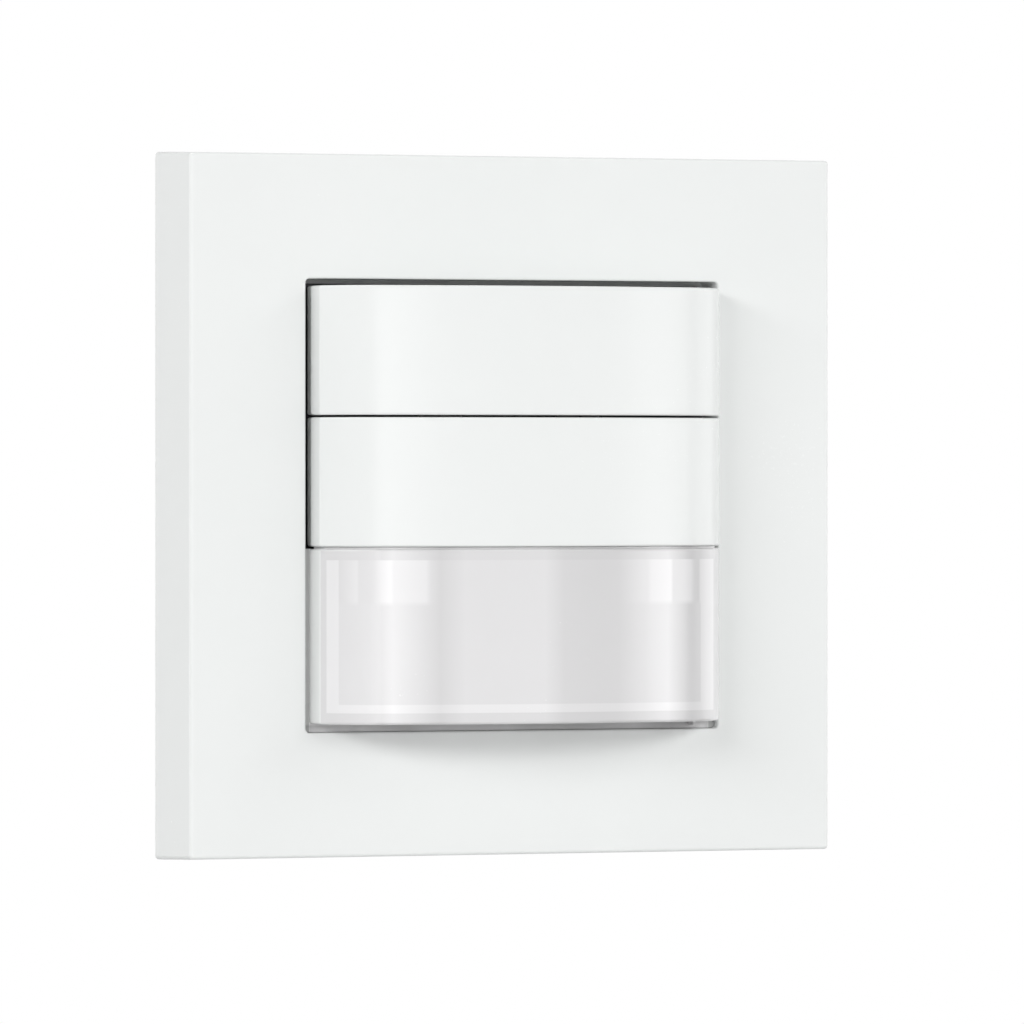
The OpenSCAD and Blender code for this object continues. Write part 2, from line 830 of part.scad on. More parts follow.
// Rear cover of the sensor head, hooked behind the support ring
module rear_cover() color(dark) {
    edge = ring_open_w / 2;
    cut = [body_rear - past, cover_rear + past];
    difference() {
        slab(body_rear, cover_rear) rounded_rect(body_w, body_w, body_corner_r);
        plug_block(fit, cut[0], cut[1]);
        for (s = [-1, 1]) {
            rod(s * claw_x, claw_z, claw_head_r + head_room, cut[0], cut[1]);
            for (z = column_z) rod(s * column_x, z, cover_screw_r + fit, cut[0], cut[1]);
        }
        pir_leads(lead_r + lead_room, cut[0], body_rear + cover_t / 3);
    }
    for (s = [-1, 1], t = [0, 1]) mirror([0, 0, t]) {
        x = [s * hook_x - hook_w / 2, s * hook_x + hook_w / 2];
        box(x, [cover_rear - eps, hook_end], [edge - hook_play - hook_t, edge - hook_play]);
        box(x, [hook_play / 2, hook_end], [edge - hook_play - eps, edge - hook_play + hook_lip]);
    }
}

module cross_cut(l, w, y0, y1) {
    for (turn = [0, 90]) rotate([0, turn, 0]) box([-l / 2, l / 2], [y0, y1], [-w / 2, w / 2]);
}

module cover_screws() color(steel) for (s = [-1, 1], z = column_z) difference() {
    end = cover_rear + cover_head_h;
    union() {
        rod(s * column_x, z, cover_head_r, cover_rear, end);
        rod(s * column_x, z, cover_screw_r, deck_rear + column_floor + fit, cover_rear + eps);
    }
    translate([s * column_x, 0, z])
        cross_cut(1.2 * cover_head_r, cover_cross_w, end - cover_head_h / 2, end + past);
}

// Support ring, screwed to the wall box
module support_ring() color(steel) {
    slab(-ring_t, 0) difference() {
        rounded_rect(ring_w, ring_w, ring_corner_r);
        rounded_rect(ring_open_w, ring_open_w, ring_open_r);
        for (s = [-1, 1]) {
            translate([s * screw_spacing / 2, 0]) slot(slot_l, slot_w);
            translate([0, s * screw_spacing / 2]) rotate(90) slot(slot_l, slot_w);
            translate([s * claw_x, claw_z]) circle(claw_screw_r + 2 * slide);
            translate([0, s * rivet_z]) circle(rivet_r + slide);
            for (t = [-1, 1]) translate([s * corner_hole, t * corner_hole]) circle(corner_hole_r);
        }
    }
    each_side() for (s = [-1, 1]) claw_ear(s);
}

// Ear bent back from the ring, with the claw's bearing hole
module claw_ear(s) {
    z = claw_z + s * (ear_in + ear_t / 2);
    x = claw_pivot[0];
    difference() {
        union() {
            box([x - ear_r, x + ear_r], [-eps, claw_pivot[1]], [z - ear_t / 2, z + ear_t / 2]);
            translate([x, claw_pivot[1], z - ear_t / 2]) cylinder(r = ear_r, h = ear_t);
        }
        translate([x, claw_pivot[1], z - past]) cylinder(r = pivot_r + slide, h = 2 * past);
    }
}

// Spreading claw: two side plates, a web and teeth at the end
module claw_plate() {
    p = claw_pivot;
    near = claw_x + web_near + web_t;
    far = claw_x + web_far + web_t;
    translate(p) circle(claw_lug_r);
    polygon(concat(
        [[p[0] - claw_lug_r, p[1]], [claw_x - claw_back, web_start + claw_bend],
         [claw_x - claw_back, nut_rest], [claw_x + claw_tip[0], web_end + claw_tip[1]]],
        [for (i = [0 : 2]) each [[far + tooth, web_end - i * tooth_l + tooth_at[0]],
                                 [far, web_end - i * tooth_l + tooth_at[1]]]],
        [[near, web_start], [p[0] + claw_lug_r, p[1]]]));
}

module claw() {
    stub = ear_t + fit;
    for (s = [-1, 1]) {
        z = claw_z + s * (claw_gap + claw_t / 2);
        upright(z - claw_t / 2, z + claw_t / 2) claw_plate();
        translate([claw_pivot[0], claw_pivot[1], z + s * (claw_t + stub) / 2 - stub / 2])
            cylinder(r = pivot_r, h = stub);
    }
    upright(claw_z - claw_gap - eps, claw_z + claw_gap + eps)
        translate([claw_x, 0]) polygon([
            [web_near, web_start], [web_far, nut_rest - fit], [web_far, web_end],
            [web_far + web_t, web_end], [web_far + web_t, nut_rest - fit],
            [web_near + web_t, web_start]]);
}

module right_claw() color(steel) claw();

module left_claw() color(steel) mirror([1, 0, 0]) claw();

module claw_screw() {
    front = -ring_t - claw_head_h;
    difference() {
        union() {
            rod(claw_x, claw_z, claw_head_r, front, -ring_t);
            rod(claw_x, claw_z, claw_screw_r, -ring_t - eps, claw_screw_l);
        }
        translate([claw_x, 0, claw_z]) cross_cut(1.2 * claw_head_r, claw_cross_w, front - past, front + past);
    }
}

module right_claw_screw() color(steel) claw_screw();

module left_claw_screw() color(steel) mirror([1, 0, 0]) claw_screw();

module claw_nut() {
    h = nut_half - 3 * slide;
    difference() {
        box([claw_x - nut_half, claw_x + nut_half], [nut_rest, nut_rest + nut_t], [claw_z - h, claw_z + h]);
        rod(claw_x, claw_z, claw_screw_r + slide, nut_rest - past, nut_rest + nut_t + past);
    }
}

module right_claw_nut() color(brass) claw_nut();

module left_claw_nut() color(brass) mirror([1, 0, 0]) claw_nut();

// Rivets that hold the load module on the ring
module ring_rivets() color(brass) for (s = [-1, 1]) {
    rod(0, s * rivet_z, rivet_head_r, -ring_t - rivet_head_h, -ring_t);
    rod(0, s * rivet_z, rivet_r, -ring_t - eps, rivet_l);
}

// Load module
module module_lid() color(grey) difference() {
    rim_end = lid_t + rim_h;
    post_room = rivet_boss_r + fit;
    cut = [-past, rim_end + past];
    union() {
        slab(0, lid_t) flat_round(module_r, module_flat);
        slab(lid_t - eps, rim_end) difference() {
            flat_round(inner_r - rim_gap, inner_flat - rim_gap);
            flat_round(inner_r - rim_gap - rim_t, inner_flat - rim_gap - rim_t);
        }
    }
    plug_block(plug_room, cut[0], cut[1]);
    for (s = [-1, 1]) {
        rod(0, s * rivet_z, rivet_r + slide, cut[0], cut[1]);
        box([-post_room, post_room], [lid_t, cut[1]], [s * rivet_z - post_room, s * rivet_z + post_room]);
        for (t = [0, 1]) mirror([0, 0, t])
            box([s * hook_x - hook_w / 2 - hook_room, s * hook_x + hook_w / 2 + hook_room], cut,
                [ring_open_w / 2 - hook_play - hook_t - hook_room,
                 ring_open_w / 2 - hook_play + hook_lip + hook_room]);
    }
}

module module_housing() color(grey) {
    row = row_half + fit;
    cut = [module_depth - 2 * module_wall, module_depth + past];
    difference() {
        union() {
            difference() {
                slab(lid_t, module_depth) flat_round(module_r, module_flat);
                slab(lid_t - past, module_depth - module_wall) flat_round(inner_r, inner_flat);
            }
            // Posts for the rivets, and rests for the power board
            intersection() {
                slab(lid_t, module_depth - module_wall / 2)
                    flat_round(module_r - module_wall / 2, module_flat);
                for (s = [-1, 1]) {
                    rod(0, s * rivet_z, rivet_boss_r, lid_t, rivet_boss_end);
                    box([-rest_w / 2, rest_w / 2], [power_rear, module_depth],
                        [s * rest_z - rest_h / 2, s * rest_z + rest_h / 2]);
                }
            }
        }
        for (s = [-1, 1]) rod(0, s * rivet_z, rivet_r + slide, lid_t - past, rivet_l + fit);
        box([-row, row], cut, [terminal_z - terminal_h / 2 - fit, terminal_z + terminal_h / 2 + fit]);
        // Vents in the rear wall
        for (i = [-2 : 2])
            box([i * vent_pitch - vent_w / 2, i * vent_pitch + vent_w / 2], cut, vent_z);
    }
}

module socket_strip() color(dark) difference() {
    plug_block(0, socket_front, power_front);
    header_grid(pin_w / 2 + pin_room, socket_front - past, pin_end + past);
}

module power_board() color(green) slab(power_front, power_rear)
    flat_round(inner_r - fit, inner_flat - fit);

module lead(x, z, y0) {
    box([x - lead_w / 2, x + lead_w / 2], [y0, power_front], [z - lead_w / 2, z + lead_w / 2]);
}

module relay() color(orange) {
    front = power_front - relay_lift - relay_l;
    mid = [(relay_x[0] + relay_x[1]) / 2, relay_z0 + relay_h / 2];
    box(relay_x, [front, power_front - relay_lift], [relay_z0, relay_z0 + relay_h]);
    for (sx = [-1, 1], sz = [-1, 1])
        lead(mid[0] + sx * (relay_w / 2 - relay_lead), mid[1] + sz * (relay_h / 2 - relay_lead),
             power_front - relay_lift - eps);
    box([mid[0] - relay_pad / 2, mid[0] + relay_pad / 2], [front - fit, front + eps],
        [mid[1] - relay_pad / 2, mid[1] + relay_pad / 2]);
}

module film_capacitor() color(yellow) slab(power_front - film_l, power_front)
    translate(film_at) rounded_rect(film_w, film_h, film_corner_r);

// A turned part that stands on the power board, with its outline off the board
module standing(at, outline) {
    translate([at[0], power_front, at[1]]) rotate([90, 0, 0]) rotate_extrude() polygon(outline);
}

// Can in a shrunk sleeve, crimped near its foot, with a bare vented top
module smoothing_capacitor() color(blue) standing(smoothing_at, [
    [0, 0], [smoothing_r, 0], [smoothing_r, crimp[0]], [smoothing_r - sleeve_t, crimp[1]],
    [smoothing_r - sleeve_t, crimp[2]], [smoothing_r, crimp[3]], [smoothing_r, smoothing_l - sleeve_round[1]],
    [smoothing_r - sleeve_round[0], smoothing_l], [smoothing_r - sleeve_lap, smoothing_l],
    [smoothing_r - sleeve_lap, smoothing_l - sleeve_t], [0, smoothing_l - sleeve_t]]);

// Coil on a spool-shaped core
module choke() color(brown) standing(choke_at, [
    [0, 0], [choke_r, 0], [choke_r, choke_rim], [choke_r - choke_dip, choke_rim + choke_slope],
    [choke_r - choke_dip, choke_l - choke_rim - choke_slope], [choke_r, choke_l - choke_rim],
    [choke_r, choke_l], [0, choke_l]]);

module fuse() color(steel) {
    y = power_front - fuse_lift;
    translate([fuse_at[0], y, fuse_at[1]]) rotate([0, 90, 0]) cylinder(r = fuse_r, h = fuse_l);
    for (x = [0, fuse_l - fuse_cap_l]) translate([fuse_at[0] + x, y, fuse_at[1]]) {
        rotate([0, 90, 0]) cylinder(r = fuse_cap_r, h = fuse_cap_l);
        box([fuse_cap_l / 2 - fuse_foot / 2, fuse_cap_l / 2 + fuse_foot / 2],
            [fuse_cap_r / 2, fuse_lift], [-fuse_foot, fuse_foot]);
    }
}

module varistor() color(blue) {
    translate([0, power_front - varistor_lift, varistor_z]) cylinder(r = varistor_r, h = varistor_t);
    for (s = [-1, 1])
        lead(s * varistor_lead_x, varistor_z + varistor_t / 2,
             power_front - varistor_lift + varistor_r / 2);
}

// Terminals with push-in wire entries and release levers
module terminal(k) {
    x = terminal_x(k);
    side = lever_w / 2 + lever_room;
    difference() {
        box([x - terminal_w / 2, x + terminal_w / 2], [power_rear, terminal_rear],
            [terminal_z - terminal_h / 2, terminal_z + terminal_h / 2]);
        rod(x, wire_z, wire_r, terminal_rear - wire_depth, terminal_rear + past);
        translate([x, terminal_rear + eps - funnel, wire_z]) rotate([-90, 0, 0])
            cylinder(r1 = wire_r, r2 = wire_r + funnel, h = funnel);
        box([x - side, x + side], [terminal_rear - lever_l - lever_travel - fit, terminal_rear + past],
            [lever_z - side, lever_z + side]);
        box([x - clip_w / 2 - clip_room, x + clip_w / 2 + clip_room],
            [power_rear - past, terminal_rear - clip_cover],
            [clip_z - clip_t / 2 - clip_room, clip_z + clip_t / 2 + clip_room]);
    }
}

module release_lever(k) {
    x = terminal_x(k);
    h = lever_w / 2;
    box([x - h, x + h], [terminal_rear - lever_l, terminal_rear + lever_out], [lever_z - h, lever_z + h]);
}

module terminal_1() color(white) terminal(1);

module terminal_2() color(white) terminal(2);

module terminal_3() color(white) terminal(3);

module terminal_4() color(white) terminal(4);

module release_lever_1() color(orange) release_lever(1);

module release_lever_2() color(orange) release_lever(2);

module release_lever_3() color(orange) release_lever(3);

module release_lever_4() color(orange) release_lever(4);

module clamp_springs() color(steel) for (k = [1 : 4])
    box([terminal_x(k) - clip_w / 2, terminal_x(k) + clip_w / 2],
        [power_rear, terminal_rear - clip_cover - clip_room],
        [clip_z - clip_t / 2, clip_z + clip_t / 2]);

cover_frame();
upper_key();
lower_key();
sensor_lens();
lens_chamber();
sensor_body();
upper_key_springs();
lower_key_springs();
sensor_board();
pir_can();
pir_window();
pir_base();
upper_switch();
upper_plunger();
lower_switch();
lower_plunger();
time_trimmer();
time_dial();
twilight_trimmer();
twilight_dial();
status_led();
light_sensor();
controller();
header_base();
header_pins();
rear_cover();
cover_screws();
support_ring();
left_claw();
right_claw();
left_claw_screw();
right_claw_screw();
left_claw_nut();
right_claw_nut();
ring_rivets();
module_lid();
module_housing();
socket_strip();
power_board();
relay();
film_capacitor();
smoothing_capacitor();
choke();
fuse();
varistor();
terminal_1();
terminal_2();
terminal_3();
terminal_4();
release_lever_1();
release_lever_2();
release_lever_3();
release_lever_4();
clamp_springs();
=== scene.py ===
# %% [markdown]
# # A motion sensor light switch
# This lesson dresses a wall switch: a square white cover frame, two bowed push keys and, below
# them, a milky lens with a motion sensor behind it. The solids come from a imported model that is
# loaded as a fixed frame. Visible skins are built again here with finer curves and rounded edges,
# and every other piece keeps its solid and gets softened edges and a finish of its own.

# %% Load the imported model
import json
import math

import bmesh
import bpy
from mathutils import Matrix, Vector


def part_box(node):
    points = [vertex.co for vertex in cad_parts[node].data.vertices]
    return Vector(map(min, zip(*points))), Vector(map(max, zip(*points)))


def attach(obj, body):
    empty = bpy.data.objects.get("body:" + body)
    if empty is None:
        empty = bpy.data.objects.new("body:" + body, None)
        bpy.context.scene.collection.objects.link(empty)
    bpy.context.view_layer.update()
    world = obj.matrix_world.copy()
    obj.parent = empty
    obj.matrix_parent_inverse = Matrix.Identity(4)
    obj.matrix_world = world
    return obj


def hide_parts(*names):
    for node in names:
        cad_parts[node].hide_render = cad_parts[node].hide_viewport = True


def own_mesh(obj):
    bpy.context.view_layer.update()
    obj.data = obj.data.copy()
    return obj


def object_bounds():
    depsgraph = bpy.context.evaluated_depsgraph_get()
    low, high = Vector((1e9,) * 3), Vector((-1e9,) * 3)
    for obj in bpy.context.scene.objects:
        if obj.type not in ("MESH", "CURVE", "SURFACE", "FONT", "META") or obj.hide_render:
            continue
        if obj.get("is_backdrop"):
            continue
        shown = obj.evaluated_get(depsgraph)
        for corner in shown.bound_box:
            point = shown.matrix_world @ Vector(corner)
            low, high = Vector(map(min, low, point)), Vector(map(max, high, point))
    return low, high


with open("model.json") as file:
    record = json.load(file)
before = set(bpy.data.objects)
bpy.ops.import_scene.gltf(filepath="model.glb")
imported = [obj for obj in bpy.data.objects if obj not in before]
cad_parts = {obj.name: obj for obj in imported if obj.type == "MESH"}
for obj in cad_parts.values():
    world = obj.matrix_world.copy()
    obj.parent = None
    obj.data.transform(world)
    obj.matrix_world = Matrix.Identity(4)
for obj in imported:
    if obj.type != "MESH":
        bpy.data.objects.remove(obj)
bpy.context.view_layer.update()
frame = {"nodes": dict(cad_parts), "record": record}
nodes = frame["nodes"]
scene = bpy.context.scene

# %% [markdown]
# ## Sizes
# All the pieces share a few sizes, in metres. They are read from the solids' boxes where a box
# gives them, so the skins sit where the solids are, and written down where only the curves of
# the bow give them: a long crown across the front and a tight shoulder at each side.

# %% Read the main sizes
MM = 0.001
frame_low, frame_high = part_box("cover_frame")
y_face = frame_low.y
frame_half = frame_high.x
flare = 0.3 * MM
upper_low, upper_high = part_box("upper_key")
lower_low, lower_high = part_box("lower_key")
lens_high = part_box("sensor_lens")[1]
half_w = upper_high.x
crown_r = 80 * MM
shoulder_r = 10 * MM
shoulder_angle = math.radians(65)
y_edge = y_face - 2.1 * MM
shoulder_x = half_w - shoulder_r * math.sin(shoulder_angle)
shoulder_y = y_edge + shoulder_r * math.cos(shoulder_angle)
bow_angle = math.asin(shoulder_x / (crown_r - shoulder_r))
crown_y = shoulder_y + math.sqrt((crown_r - shoulder_r) ** 2 - shoulder_x ** 2)
print("bow stands", round((y_face - crown_y + crown_r) / MM, 2), "mm proud of the frame")

# %% [markdown]
# ## Camera
# The photograph was taken from the left with a long lens, which keeps the uprights upright.
# Its place was worked out from the frame's four corners, so here it is written down as a yaw,
# a distance from the middle of the front face and a lens, with a very small tilt downwards.

# %% Place the camera
yaw = math.radians(23.8047)
tilt = math.radians(0.2317)
camera_distance = 1.12154
camera_side = 0.0002232
camera_height = 0.003781
right = Vector((math.cos(yaw), -math.sin(yaw), 0))
ahead = Vector((math.sin(yaw), math.cos(yaw), 0))
camera = bpy.data.objects.new("camera", bpy.data.cameras.new("camera"))
scene.collection.objects.link(camera)
scene.camera = camera
camera.location = Vector((0, y_face, camera_height)) - camera_side * right - camera_distance * ahead
look = ahead * math.cos(tilt) - Vector((0, 0, math.sin(tilt)))
camera.rotation_mode = "QUATERNION"
camera.rotation_quaternion = look.to_track_quat("-Z", "Y")
camera.data.sensor_width = 36
camera.data.lens = 344.02
camera.data.clip_start = 0.05
print("camera at", [round(v, 4) for v in camera.location])

# %% [markdown]
# ## Node helpers
# Materials are built from nodes in code. A few small helpers keep that readable: `put` adds a node
# with its settings and one value per named socket, `math_node` and `weighted` do sums, and the
# last two make a node group with named sockets and place it. A value that is itself a socket is
# linked, and any other value is written on the socket.

# %% Define the node helpers


def feed(tree, socket, value):
    """Link a socket to another one, or write a plain value on it; colours come as three numbers."""
    if isinstance(value, bpy.types.NodeSocket):
        tree.links.new(value, socket)
    elif socket.type == "RGBA":
        socket.default_value = (*value, 1.0)
    else:
        socket.default_value = value


def put(tree, kind, settings=None, **sockets):
    """Add a shader node; settings are its properties, the rest are its input sockets by name."""
    node = tree.nodes.new("ShaderNode" + kind)
    for name, value in (settings or {}).items():
        setattr(node, name, value)
    for name, value in sockets.items():
        feed(tree, node.inputs[name.replace("_", " ")], value)
    return node


def math_node(tree, operation, first, second):
    """A maths node with two values or sockets."""
    node = put(tree, "Math", {"operation": operation})
    feed(tree, node.inputs[0], first)
    feed(tree, node.inputs[1], second)
    return node.outputs[0]


def weighted(tree, first, second, share):
    """A sum of two values, of which the first counts by its share and the second by the rest."""
    return math_node(tree, "ADD", math_node(tree, "MULTIPLY", first, share),
                     math_node(tree, "MULTIPLY", second, 1 - share))


def make_group(name, inputs, outputs):
    """A node group with float inputs {name: default} and float outputs."""
    group = bpy.data.node_groups.new(name, "ShaderNodeTree")
    for label, default in inputs.items():
        socket = group.interface.new_socket(name=label, in_out="INPUT", socket_type="NodeSocketFloat")
        socket.default_value = default
    for label in outputs:
        group.interface.new_socket(name=label, in_out="OUTPUT", socket_type="NodeSocketFloat")
    entry = group.nodes.new("NodeGroupInput").outputs
    leave = group.nodes.new("NodeGroupOutput").inputs
    return group, entry, leave


def use_group(tree, group, **values):
    """Place a group in a material with its own values and return its outputs."""
    node = tree.nodes.new("ShaderNodeGroup")
    node.node_tree = group
    for name, value in values.items():
        node.inputs[name.replace("_", " ")].default_value = value
    return node.outputs


print("node helpers ready")

# %% [markdown]
# ## Moulded skin
# Every plastic piece here is injection moulded, and a mould leaves a fine satin grain and a very
# slow drift of tone where the melt flowed. Two noises give both: a fine one for the grain's
# height and gloss, and a wide one for the drift. Object coordinates keep the grain the same size
# on every piece.

# %% Build the moulded skin group
moulded_skin, entry, leave = make_group(
    "moulded_skin", {"Grain": 2200.0, "Drift": 38.0}, ["Height", "Tone", "Gloss"])
place = put(moulded_skin, "TexCoord").outputs["Object"]
fine = put(moulded_skin, "TexNoise", Vector=place, Scale=entry["Grain"], Detail=3.0, Roughness=0.6)
wide = put(moulded_skin, "TexNoise", Vector=place, Scale=entry["Drift"], Detail=2.0, Roughness=0.5)
gloss = weighted(moulded_skin, fine.outputs["Fac"], wide.outputs["Fac"], share=0.6)
moulded_skin.links.new(fine.outputs["Fac"], leave["Height"])
moulded_skin.links.new(wide.outputs["Fac"], leave["Tone"])
moulded_skin.links.new(gloss, leave["Gloss"])
print("moulded skin has", len(moulded_skin.nodes), "nodes")

# %% [markdown]
# ## Rubbed edges
# Corners that hands, tools and neighbouring pieces touch end up a little brighter than the faces.
# Pointiness would find them, but it is known only at the corners of a mesh and smears over wide
# flat faces. So the surface is compared with itself after a small rounding: where the two normals
# differ there is an edge. Noise breaks the mask up, so that no edge is rubbed evenly.

# %% Build the rubbed edge group
rubbed_edge, entry, leave = make_group("rubbed_edge", {"Reach": 0.25 * MM, "Breakup": 900.0}, ["Mask"])
rounded = put(rubbed_edge, "Bevel", {"samples": 4}, Radius=entry["Reach"]).outputs["Normal"]
surface = put(rubbed_edge, "NewGeometry").outputs["Normal"]
agree = put(rubbed_edge, "VectorMath", {"operation": "DOT_PRODUCT"})
rubbed_edge.links.new(rounded, agree.inputs[0])
rubbed_edge.links.new(surface, agree.inputs[1])
band = put(rubbed_edge, "MapRange", Value=agree.outputs["Value"], From_Min=0.98, From_Max=0.75)
place = put(rubbed_edge, "TexCoord").outputs["Object"]
broken = put(rubbed_edge, "TexNoise", Vector=place, Scale=entry["Breakup"], Detail=4.0)
rubbed = math_node(rubbed_edge, "MULTIPLY", band.outputs["Result"], broken.outputs["Fac"])
rubbed_edge.links.new(rubbed, leave["Mask"])
print("rubbed edge has", len(rubbed_edge.nodes), "nodes")

# %% [markdown]
# ## Settled dust
# Dust lies on what faces up. The upward part of the surface normal, squared so that slopes get
# much less, is broken up by a fine noise. A new switch has hardly any, so each finish uses it
# very lightly.

# %% Build the settled dust group
settled_dust, entry, leave = make_group("settled_dust", {"Speck": 1500.0, "Amount": 0.1}, ["Mask"])
facing = put(settled_dust, "SeparateXYZ", Vector=put(settled_dust, "NewGeometry").outputs["Normal"])
upward = math_node(settled_dust, "MAXIMUM", facing.outputs["Z"], 0.0)
flat = math_node(settled_dust, "POWER", upward, 2.0)
place = put(settled_dust, "TexCoord").outputs["Object"]
speck = put(settled_dust, "TexNoise", Vector=place, Scale=entry["Speck"], Detail=5.0, Roughness=0.7)
lying = math_node(settled_dust, "MULTIPLY", flat, speck.outputs["Fac"])
settled_dust.links.new(math_node(settled_dust, "MULTIPLY", lying, entry["Amount"]), leave["Mask"])
print("settled dust has", len(settled_dust.nodes), "nodes")

# %% [markdown]
# ## Rolled metal
# Sheet steel, screws and brass pins carry the fine lines of rolling or drawing. Noise that is
# stretched along one axis gives the lines, and a wide noise gives the cloudy tone of plating.

# %% Build the rolled metal group
rolled_metal, entry, leave = make_group("rolled_metal", {"Lines": 1.0, "Cloud": 180.0},
                                        ["Height", "Tone", "Gloss"])
place = put(rolled_metal, "TexCoord").outputs["Object"]
drawn = put(rolled_metal, "Mapping", Vector=place, Scale=(5200.0, 5200.0, 160.0))
lines = put(rolled_metal, "TexNoise", Vector=drawn.outputs["Vector"], Scale=entry["Lines"], Detail=4.0)
cloud = put(rolled_metal, "TexNoise", Vector=place, Scale=entry["Cloud"], Detail=4.0, Roughness=0.65)
gloss = weighted(rolled_metal, lines.outputs["Fac"], cloud.outputs["Fac"], share=0.5)
rolled_metal.links.new(lines.outputs["Fac"], leave["Height"])
rolled_metal.links.new(cloud.outputs["Fac"], leave["Tone"])
rolled_metal.links.new(gloss, leave["Gloss"])
print("rolled metal has", len(rolled_metal.nodes), "nodes")

# %% [markdown]
# ## Finishes
# Each finish is a Principled shader. Plain numbers sit on its own sockets, and only what changes
# over the surface comes from the groups: a colour between two close tones, a roughness between
# two values and a bump from the grain.

# %% Define the parts of a finish


def start_finish(name, **sockets):
    """A new material with a Principled shader whose plain values are written on its sockets."""
    material = bpy.data.materials.new(name)
    material.use_nodes = True
    tree = material.node_tree
    shader = tree.nodes["Principled BSDF"]
    for label, value in sockets.items():
        shader.inputs[label.replace("_", " ")].default_value = value
    return material, tree, shader


def between(tree, factor, low, high):
    """A colour between two tones, by a factor that changes over the surface."""
    mix = put(tree, "Mix", {"data_type": "RGBA"}, Factor=factor)
    colours = [socket for socket in mix.inputs if socket.type == "RGBA"]
    feed(tree, colours[0], low)
    feed(tree, colours[1], high)
    return next(socket for socket in mix.outputs if socket.type == "RGBA")


def spread(tree, factor, low, high):
    """A value between two, by a factor that mostly lies between 0.3 and 0.7."""
    return put(tree, "MapRange", Value=factor, From_Min=0.3, From_Max=0.7,
               To_Min=low, To_Max=high).outputs["Result"]


def bump(tree, shader, height, strength, distance):
    """Raise the surface a little by a height that changes over it."""
    node = put(tree, "Bump", Height=height, Strength=strength, Distance=distance)
    tree.links.new(node.outputs["Normal"], shader.inputs["Normal"])


print("parts of a finish ready")

# %% [markdown]
# Two recipes cover nearly all the pieces. Moulded plastic has two close tones, a satin grain, edges
# that may be rubbed paler and a trace of dust. Metal has cloudy plating, drawn lines and brighter
# edges. Each finish then only gives its own tones, its range of roughness and its grain.

# %% Define the two recipes
dust_tone = (0.62, 0.6, 0.57)


def moulded(name, low, high, rough, grain=2200.0, depth=0.02 * MM, strength=0.12, edge=None, dust=0.06,
            **sockets):
    """A moulded plastic finish: two close tones, a satin grain, rubbed edges and a trace of dust."""
    material, tree, shader = start_finish(name, **sockets)
    skin = use_group(tree, moulded_skin, Grain=grain)
    tone = between(tree, spread(tree, skin["Tone"], 0.0, 1.0), low, high)
    if edge:
        tone = between(tree, use_group(tree, rubbed_edge)["Mask"], tone, edge)
    lying = use_group(tree, settled_dust, Amount=dust)["Mask"]
    tone = between(tree, lying, tone, dust_tone)
    tree.links.new(tone, shader.inputs["Base Color"])
    tree.links.new(spread(tree, skin["Gloss"], *rough), shader.inputs["Roughness"])
    bump(tree, shader, skin["Height"], strength, depth)
    return material


def metal(name, low, high, rough, lines=1.0, edge=None):
    """A metal finish: cloudy plating, drawn lines and brighter edges."""
    material, tree, shader = start_finish(name, Metallic=1.0)
    grain = use_group(tree, rolled_metal, Lines=lines)
    tone = between(tree, spread(tree, grain["Tone"], 0.0, 1.0), low, high)
    if edge:
        tone = between(tree, use_group(tree, rubbed_edge)["Mask"], tone, edge)
    tree.links.new(tone, shader.inputs["Base Color"])
    tree.links.new(spread(tree, grain["Gloss"], *rough), shader.inputs["Roughness"])
    bump(tree, shader, grain["Height"], strength=0.08, distance=0.01 * MM)
    return material


print("recipes for plastic and metal ready")

# %% [markdown]
# ## White covers
# The frame and the keys are one white plastic with a soft satin gloss. Painting it pure white
# would leave no room for the highlights, so the two tones are just below white and a touch cool.

# %% Make the white plastic
satin_white = moulded("satin_white", (0.845, 0.862, 0.854), (0.86, 0.876, 0.868), (0.2, 0.28),
                      depth=0.012 * MM, strength=0.06, edge=(0.92, 0.93, 0.925), dust=0.02)
print("made", satin_white.name)

# %% [markdown]
# ## Inner plastics
# The sensor head is dark, so that no stray light wanders about behind the lens, while the chamber
# round the sensor is a light grey. Dials and terminals are off-white. The load module is grey with
# a coarser grain, because it isn't seen once it is in the wall, and its levers are orange so that
# fingers find them. One recipe with other tones and grains gives them all.

# %% Make the inner plastics
dark_plastic = moulded("dark_plastic", (0.018, 0.018, 0.02), (0.03, 0.03, 0.032), (0.42, 0.55),
                       grain=1600.0, strength=0.2, edge=(0.07, 0.07, 0.072))
dial_plastic = moulded("dial_plastic", (0.74, 0.74, 0.7), (0.8, 0.8, 0.77), (0.35, 0.45))
chamber_plastic = moulded("chamber_plastic", (0.52, 0.53, 0.54), (0.6, 0.61, 0.62), (0.45, 0.55))
housing_plastic = moulded("housing_plastic", (0.25, 0.26, 0.28), (0.3, 0.31, 0.33), (0.4, 0.52),
                          grain=1300.0, depth=0.04 * MM, strength=0.25, edge=(0.42, 0.43, 0.45))
terminal_plastic = moulded("terminal_plastic", (0.72, 0.72, 0.7), (0.78, 0.78, 0.76), (0.32, 0.44),
                           grain=1800.0, strength=0.15, edge=(0.86, 0.86, 0.85))
orange_plastic = moulded("orange_plastic", (0.62, 0.16, 0.015), (0.7, 0.2, 0.022), (0.3, 0.42),
                         edge=(0.8, 0.36, 0.1))
print("made", dark_plastic.name, housing_plastic.name, "and four more")

# %% [markdown]
# ## Cases of the electronic parts
# A choke is wound on a dark, rough ferrite. The film capacitor sits in a yellow case, and the round
# capacitor wears a shrunk blue sleeve, which is the smoothest of the three.

